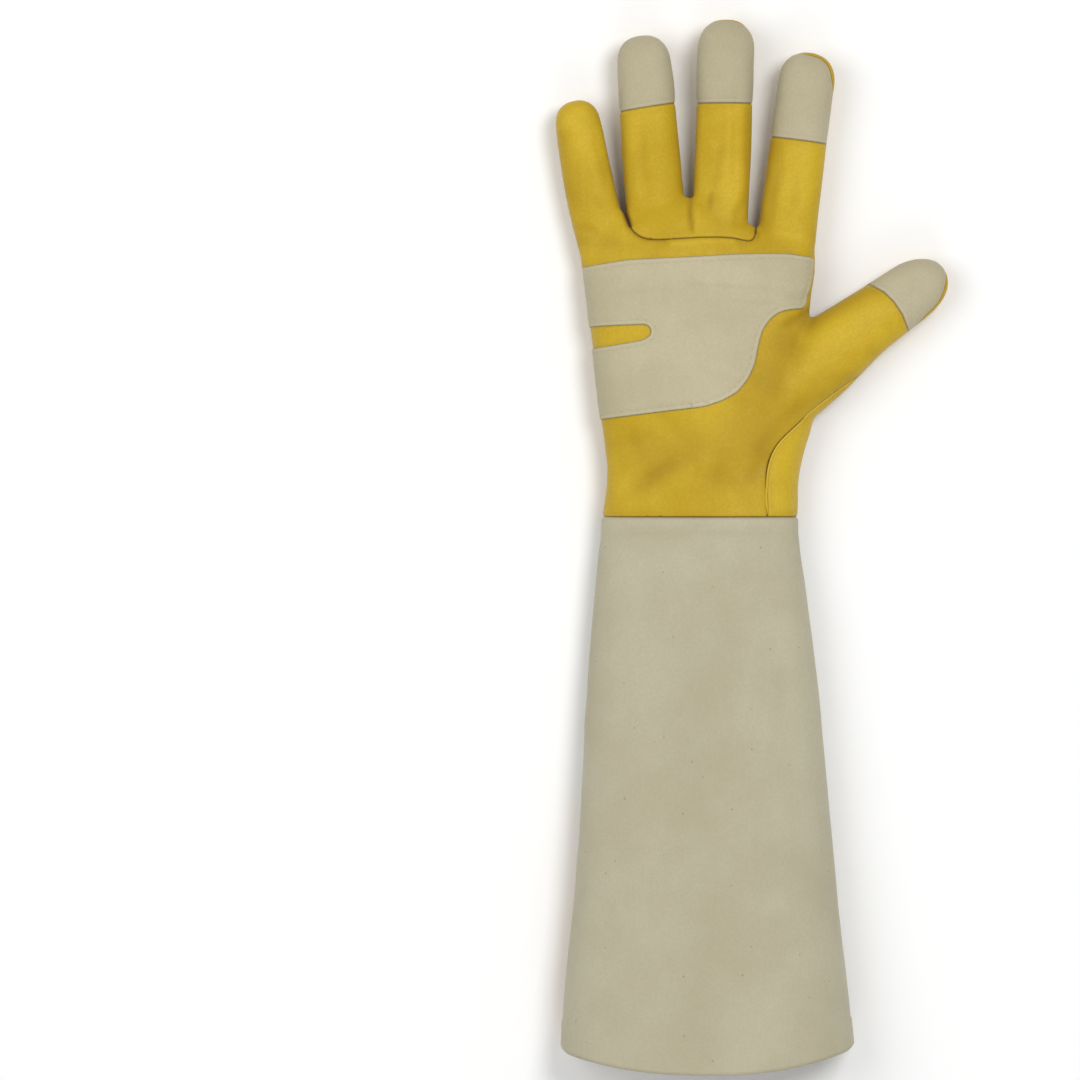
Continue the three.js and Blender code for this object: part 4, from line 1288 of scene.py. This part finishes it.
cuff_places = [(y, 0.0) for y in np.linspace(HEM_Y, WRIST_Y - 7, CUFF_ROWS)] + INSIDE_ROWS[1:]
cuff = bmesh.new()
bmesh.ops.create_grid(cuff, x_segments=CUFF_COLUMNS - 1, y_segments=len(cuff_places) - 1, size=0.5)
columns_x = sorted({round(v.co.x, 5) for v in cuff.verts})
rows_y = sorted({round(v.co.y, 5) for v in cuff.verts})
wrapped = np.array([cuff_row(y, shrink, CUFF_COLUMNS) for y, shrink in cuff_places])
print("cuff grid:", wrapped.shape, "circumference at the hem, mm:",
      round(float(np.linalg.norm(np.diff(wrapped[0], axis=0), axis=1).sum()), 1))
at = {}
for vert in cuff.verts:
    column, row = columns_x.index(round(vert.co.x, 5)), rows_y.index(round(vert.co.y, 5))
    at[row, column] = vert
    vert.co = wrapped[row, column]

# %% Hem fold and long soft folds
CUFF_FOLDS = [
    ([(-24, -20), (-26, -90), (-22, -150)], 5.0, 0.7),
    ([(6, -5), (14, -60), (22, -130)], 6.0, 0.8),
    ([(-50, -10), (-56, -60), (-60, -120)], 6.0, 0.7),
    ([(-5, -60), (-2, -120), (2, -190)], 8.0, -0.6),
    ([(-42, -90), (-46, -150), (-48, -205)], 9.0, -0.6),
    ([(-40, 4), (-36, -12), (-34, -26)], 3.0, 0.5),
    ([(2, 4), (0, -14), (-2, -26)], 3.0, 0.4),
]
# width of the hem's double band, how much thicker it is, and how deep the crease at its end is
HEM_BAND, HEM_THICKER, HEM_CREASE = 13.0, 0.35, 0.3
bmesh.ops.recalc_face_normals(cuff, faces=cuff.faces)
cuff.normal_update()
lean = sum((v.co - Vector((-20, v.co.y, 25))).dot(v.normal) for v in cuff.verts)
if lean < 0:
    bmesh.ops.reverse_faces(cuff, faces=cuff.faces)
    cuff.normal_update()
co = np.array([v.co[:] for v in cuff.verts])
inward = np.zeros(len(co))
for path, reach, depth in CUFF_FOLDS:
    inward += (co[:, 2] > SIDE_LEVEL) * depth * stroke(co[:, :2], path, reach, 0.7, 0.02)
_, middle, half = section_line(HEM_Y, 0)
hem_line = HEM_Y + hem_rise(co[:, 0], middle, half)
from_hem = np.maximum(co[:, 1] - hem_line, 0)
inward -= HEM_THICKER * (1 - 1 / (1 + np.exp(-(from_hem - HEM_BAND) / 0.5)))
inward += HEM_CREASE * np.exp(-((from_hem - HEM_BAND) / 0.9) ** 2)
calm = np.clip((WRIST_Y - 3 - co[:, 1]) / 25, 0, 1)
for k, vert in enumerate(cuff.verts):
    x, y, z = co[k]
    wave = 1.1 * noise.noise(Vector((x / 30, y / 75, z / 30 + 4)))
    wave += 0.2 * noise.noise(Vector((x / 9, y / 14, z / 9)))
    vert.co = co[k]
    vert.co += vert.normal * float((wave - inward[k]) * calm[k])
    vert.co.z = max(vert.co.z, 0.02)

# %% Closing the sheet above the vent
cuff_skin = BVHTree.FromBMesh(cuff)
open_rows = [r for r, (y, _) in enumerate(cuff_places) if y < VENT_TOP_Y + 2]
upper_edge, lower_edge = ([at[r, column].co.copy() for r in open_rows] for column in (0, CUFF_COLUMNS - 1))
sewn_rows = [r for r, (y, _) in enumerate(cuff_places) if y >= VENT_TOP_Y]
sewn = [at[r, column] for r in sewn_rows for column in (0, CUFF_COLUMNS - 1)]
bmesh.ops.remove_doubles(cuff, verts=sewn, dist=0.6)
# painted shade down the cuff and just below the wrist seam, and a painted highlight along its top edge
cuff_painted_shade = painted_shade_of("cuff", np.array([v.co[:] for v in cuff.verts]), 0)
print("cuff:", len(cuff.faces), "faces, vent of", len(open_rows), "rows")
finish(cuff, "leather_cuff", CREAM_CUFF, ["cuff"], CUFF_LEATHER, tone=cuff_painted_shade, curl=False)

# %% Golden binding along the vent
# edge, up or down from it into the leather, how far in, how far below the outside
BINDINGS = [(upper_edge, 1, 1.3, 1.5), (lower_edge, -1, 1.5, 0.9)]
BINDING_HALF, BINDING_THICK = 2.0, 1.25


def squared(value):
    """A sine or cosine that makes an oval's corners fuller."""
    return math.copysign(abs(value) ** 0.7, value)


binding = bmesh.new()
for edge_points, toward, inset, sunk in BINDINGS:
    route = even_path(edge_points, 1.5, 2)
    rings = []
    for k, point in enumerate(route):
        out = cuff_skin.find_nearest(point)[1]
        along = (route[min(k + 1, len(route) - 1)] - route[max(k - 1, 0)]).normalized()
        inwards = along.cross(out).normalized()
        if inwards.z * toward <= 0:
            inwards = -inwards
        centre = point + inwards * inset - out * sunk
        size = min(1, 0.3 + 0.7 * min(k, len(route) - 1 - k) / 2)
        ring = [centre + (inwards * (BINDING_HALF * squared(math.cos(a)))
                          + out * (BINDING_THICK * squared(math.sin(a)))) * size
                for a in (np.arange(16) + 0.5) / 16 * math.tau]
        for corner in ring:
            corner.z = max(corner.z, 0.03)
        rings.append(ring)
    add_tube(binding, rings)
bmesh.ops.recalc_face_normals(binding, faces=binding.faces)
print("binding:", len(binding.faces), "faces")
finish(binding, "vent_binding_strips", GOLD, ["vent_binding"], curl=False)

# %% [markdown]
# ## Table, light and camera
# The glove was photographed from straight above in soft even light, so the camera looks down with a long
# lens, and big area lamps give soft shadows. The table is a plain pale sheet.

# %% Table
table_mesh = bmesh.new()
bmesh.ops.create_grid(table_mesh, x_segments=1, y_segments=1, size=3.0)
mesh = bpy.data.meshes.new("table")
table_mesh.to_mesh(mesh)
table_mesh.free()
table = bpy.data.objects.new("table", mesh)
bpy.context.scene.collection.objects.link(table)
paper = bpy.data.materials.new("pale paper")
paper.use_nodes = True
shader = paper.node_tree.nodes["Principled BSDF"]
cloud = add(paper.node_tree, "TexNoise", Scale=3.0).outputs[0]
white = add(paper.node_tree, "MapRange", Value=cloud, To_Min=0.93, To_Max=0.96).outputs[0]
white = add(paper.node_tree, "CombineColor", Red=white, Green=white, Blue=white)
paper.node_tree.links.new(white.outputs[0], shader.inputs["Base Color"])
shader.inputs["Roughness"].default_value = 0.9
shader.inputs["Specular IOR Level"].default_value = 0.2
mesh.materials.append(paper)
table.location.z = -0.0002

# %% Lamps and soft surrounding light
LIT_POINT = Vector((-0.02, 0, 0.02))


def lamp(name, place, size, power):
    """A round area lamp that shines on the glove."""
    data = bpy.data.lights.new(name, "AREA")
    data.shape, data.size, data.energy = "DISK", size, power
    lamp_object = bpy.data.objects.new(name, data)
    lamp_object.location = place
    lamp_object.rotation_euler = (LIT_POINT - Vector(place)).to_track_quat("-Z", "Y").to_euler()
    bpy.context.scene.collection.objects.link(lamp_object)


lamp("window light", (0.6, 0.55, 1.8), 0.8, 17.5)
lamp("fill light", (-1.0, 0.25, 1.4), 1.2, 9.5)
lamp("low light", (0.1, -1.4, 1.0), 1.0, 4)
world = bpy.data.worlds.new("soft room")
world.use_nodes = True
world.node_tree.nodes["Background"].inputs["Color"].default_value = (1, 1, 1, 1)
world.node_tree.nodes["Background"].inputs["Strength"].default_value = 0.4
bpy.context.scene.world = world
bpy.context.scene.view_settings.view_transform = "Standard"

# %% Camera
# width of the table in view, height of the lens, and the point that it looks down on, in metres
VIEW_WIDTH, CAMERA_HEIGHT, LOOK_AT = 0.4644, 4.0, (-0.0907, 0.0026)
lens = bpy.data.cameras.new("camera")
lens.sensor_width = 36
lens.lens = 36 * (CAMERA_HEIGHT - 0.02) / VIEW_WIDTH
lens.clip_end = 20
camera = bpy.data.objects.new("camera", lens)
camera.location = (*LOOK_AT, CAMERA_HEIGHT)
bpy.context.scene.collection.objects.link(camera)
bpy.context.scene.camera = camera
print("camera:", CAMERA_HEIGHT, "m up, with a lens of", round(lens.lens), "mm")
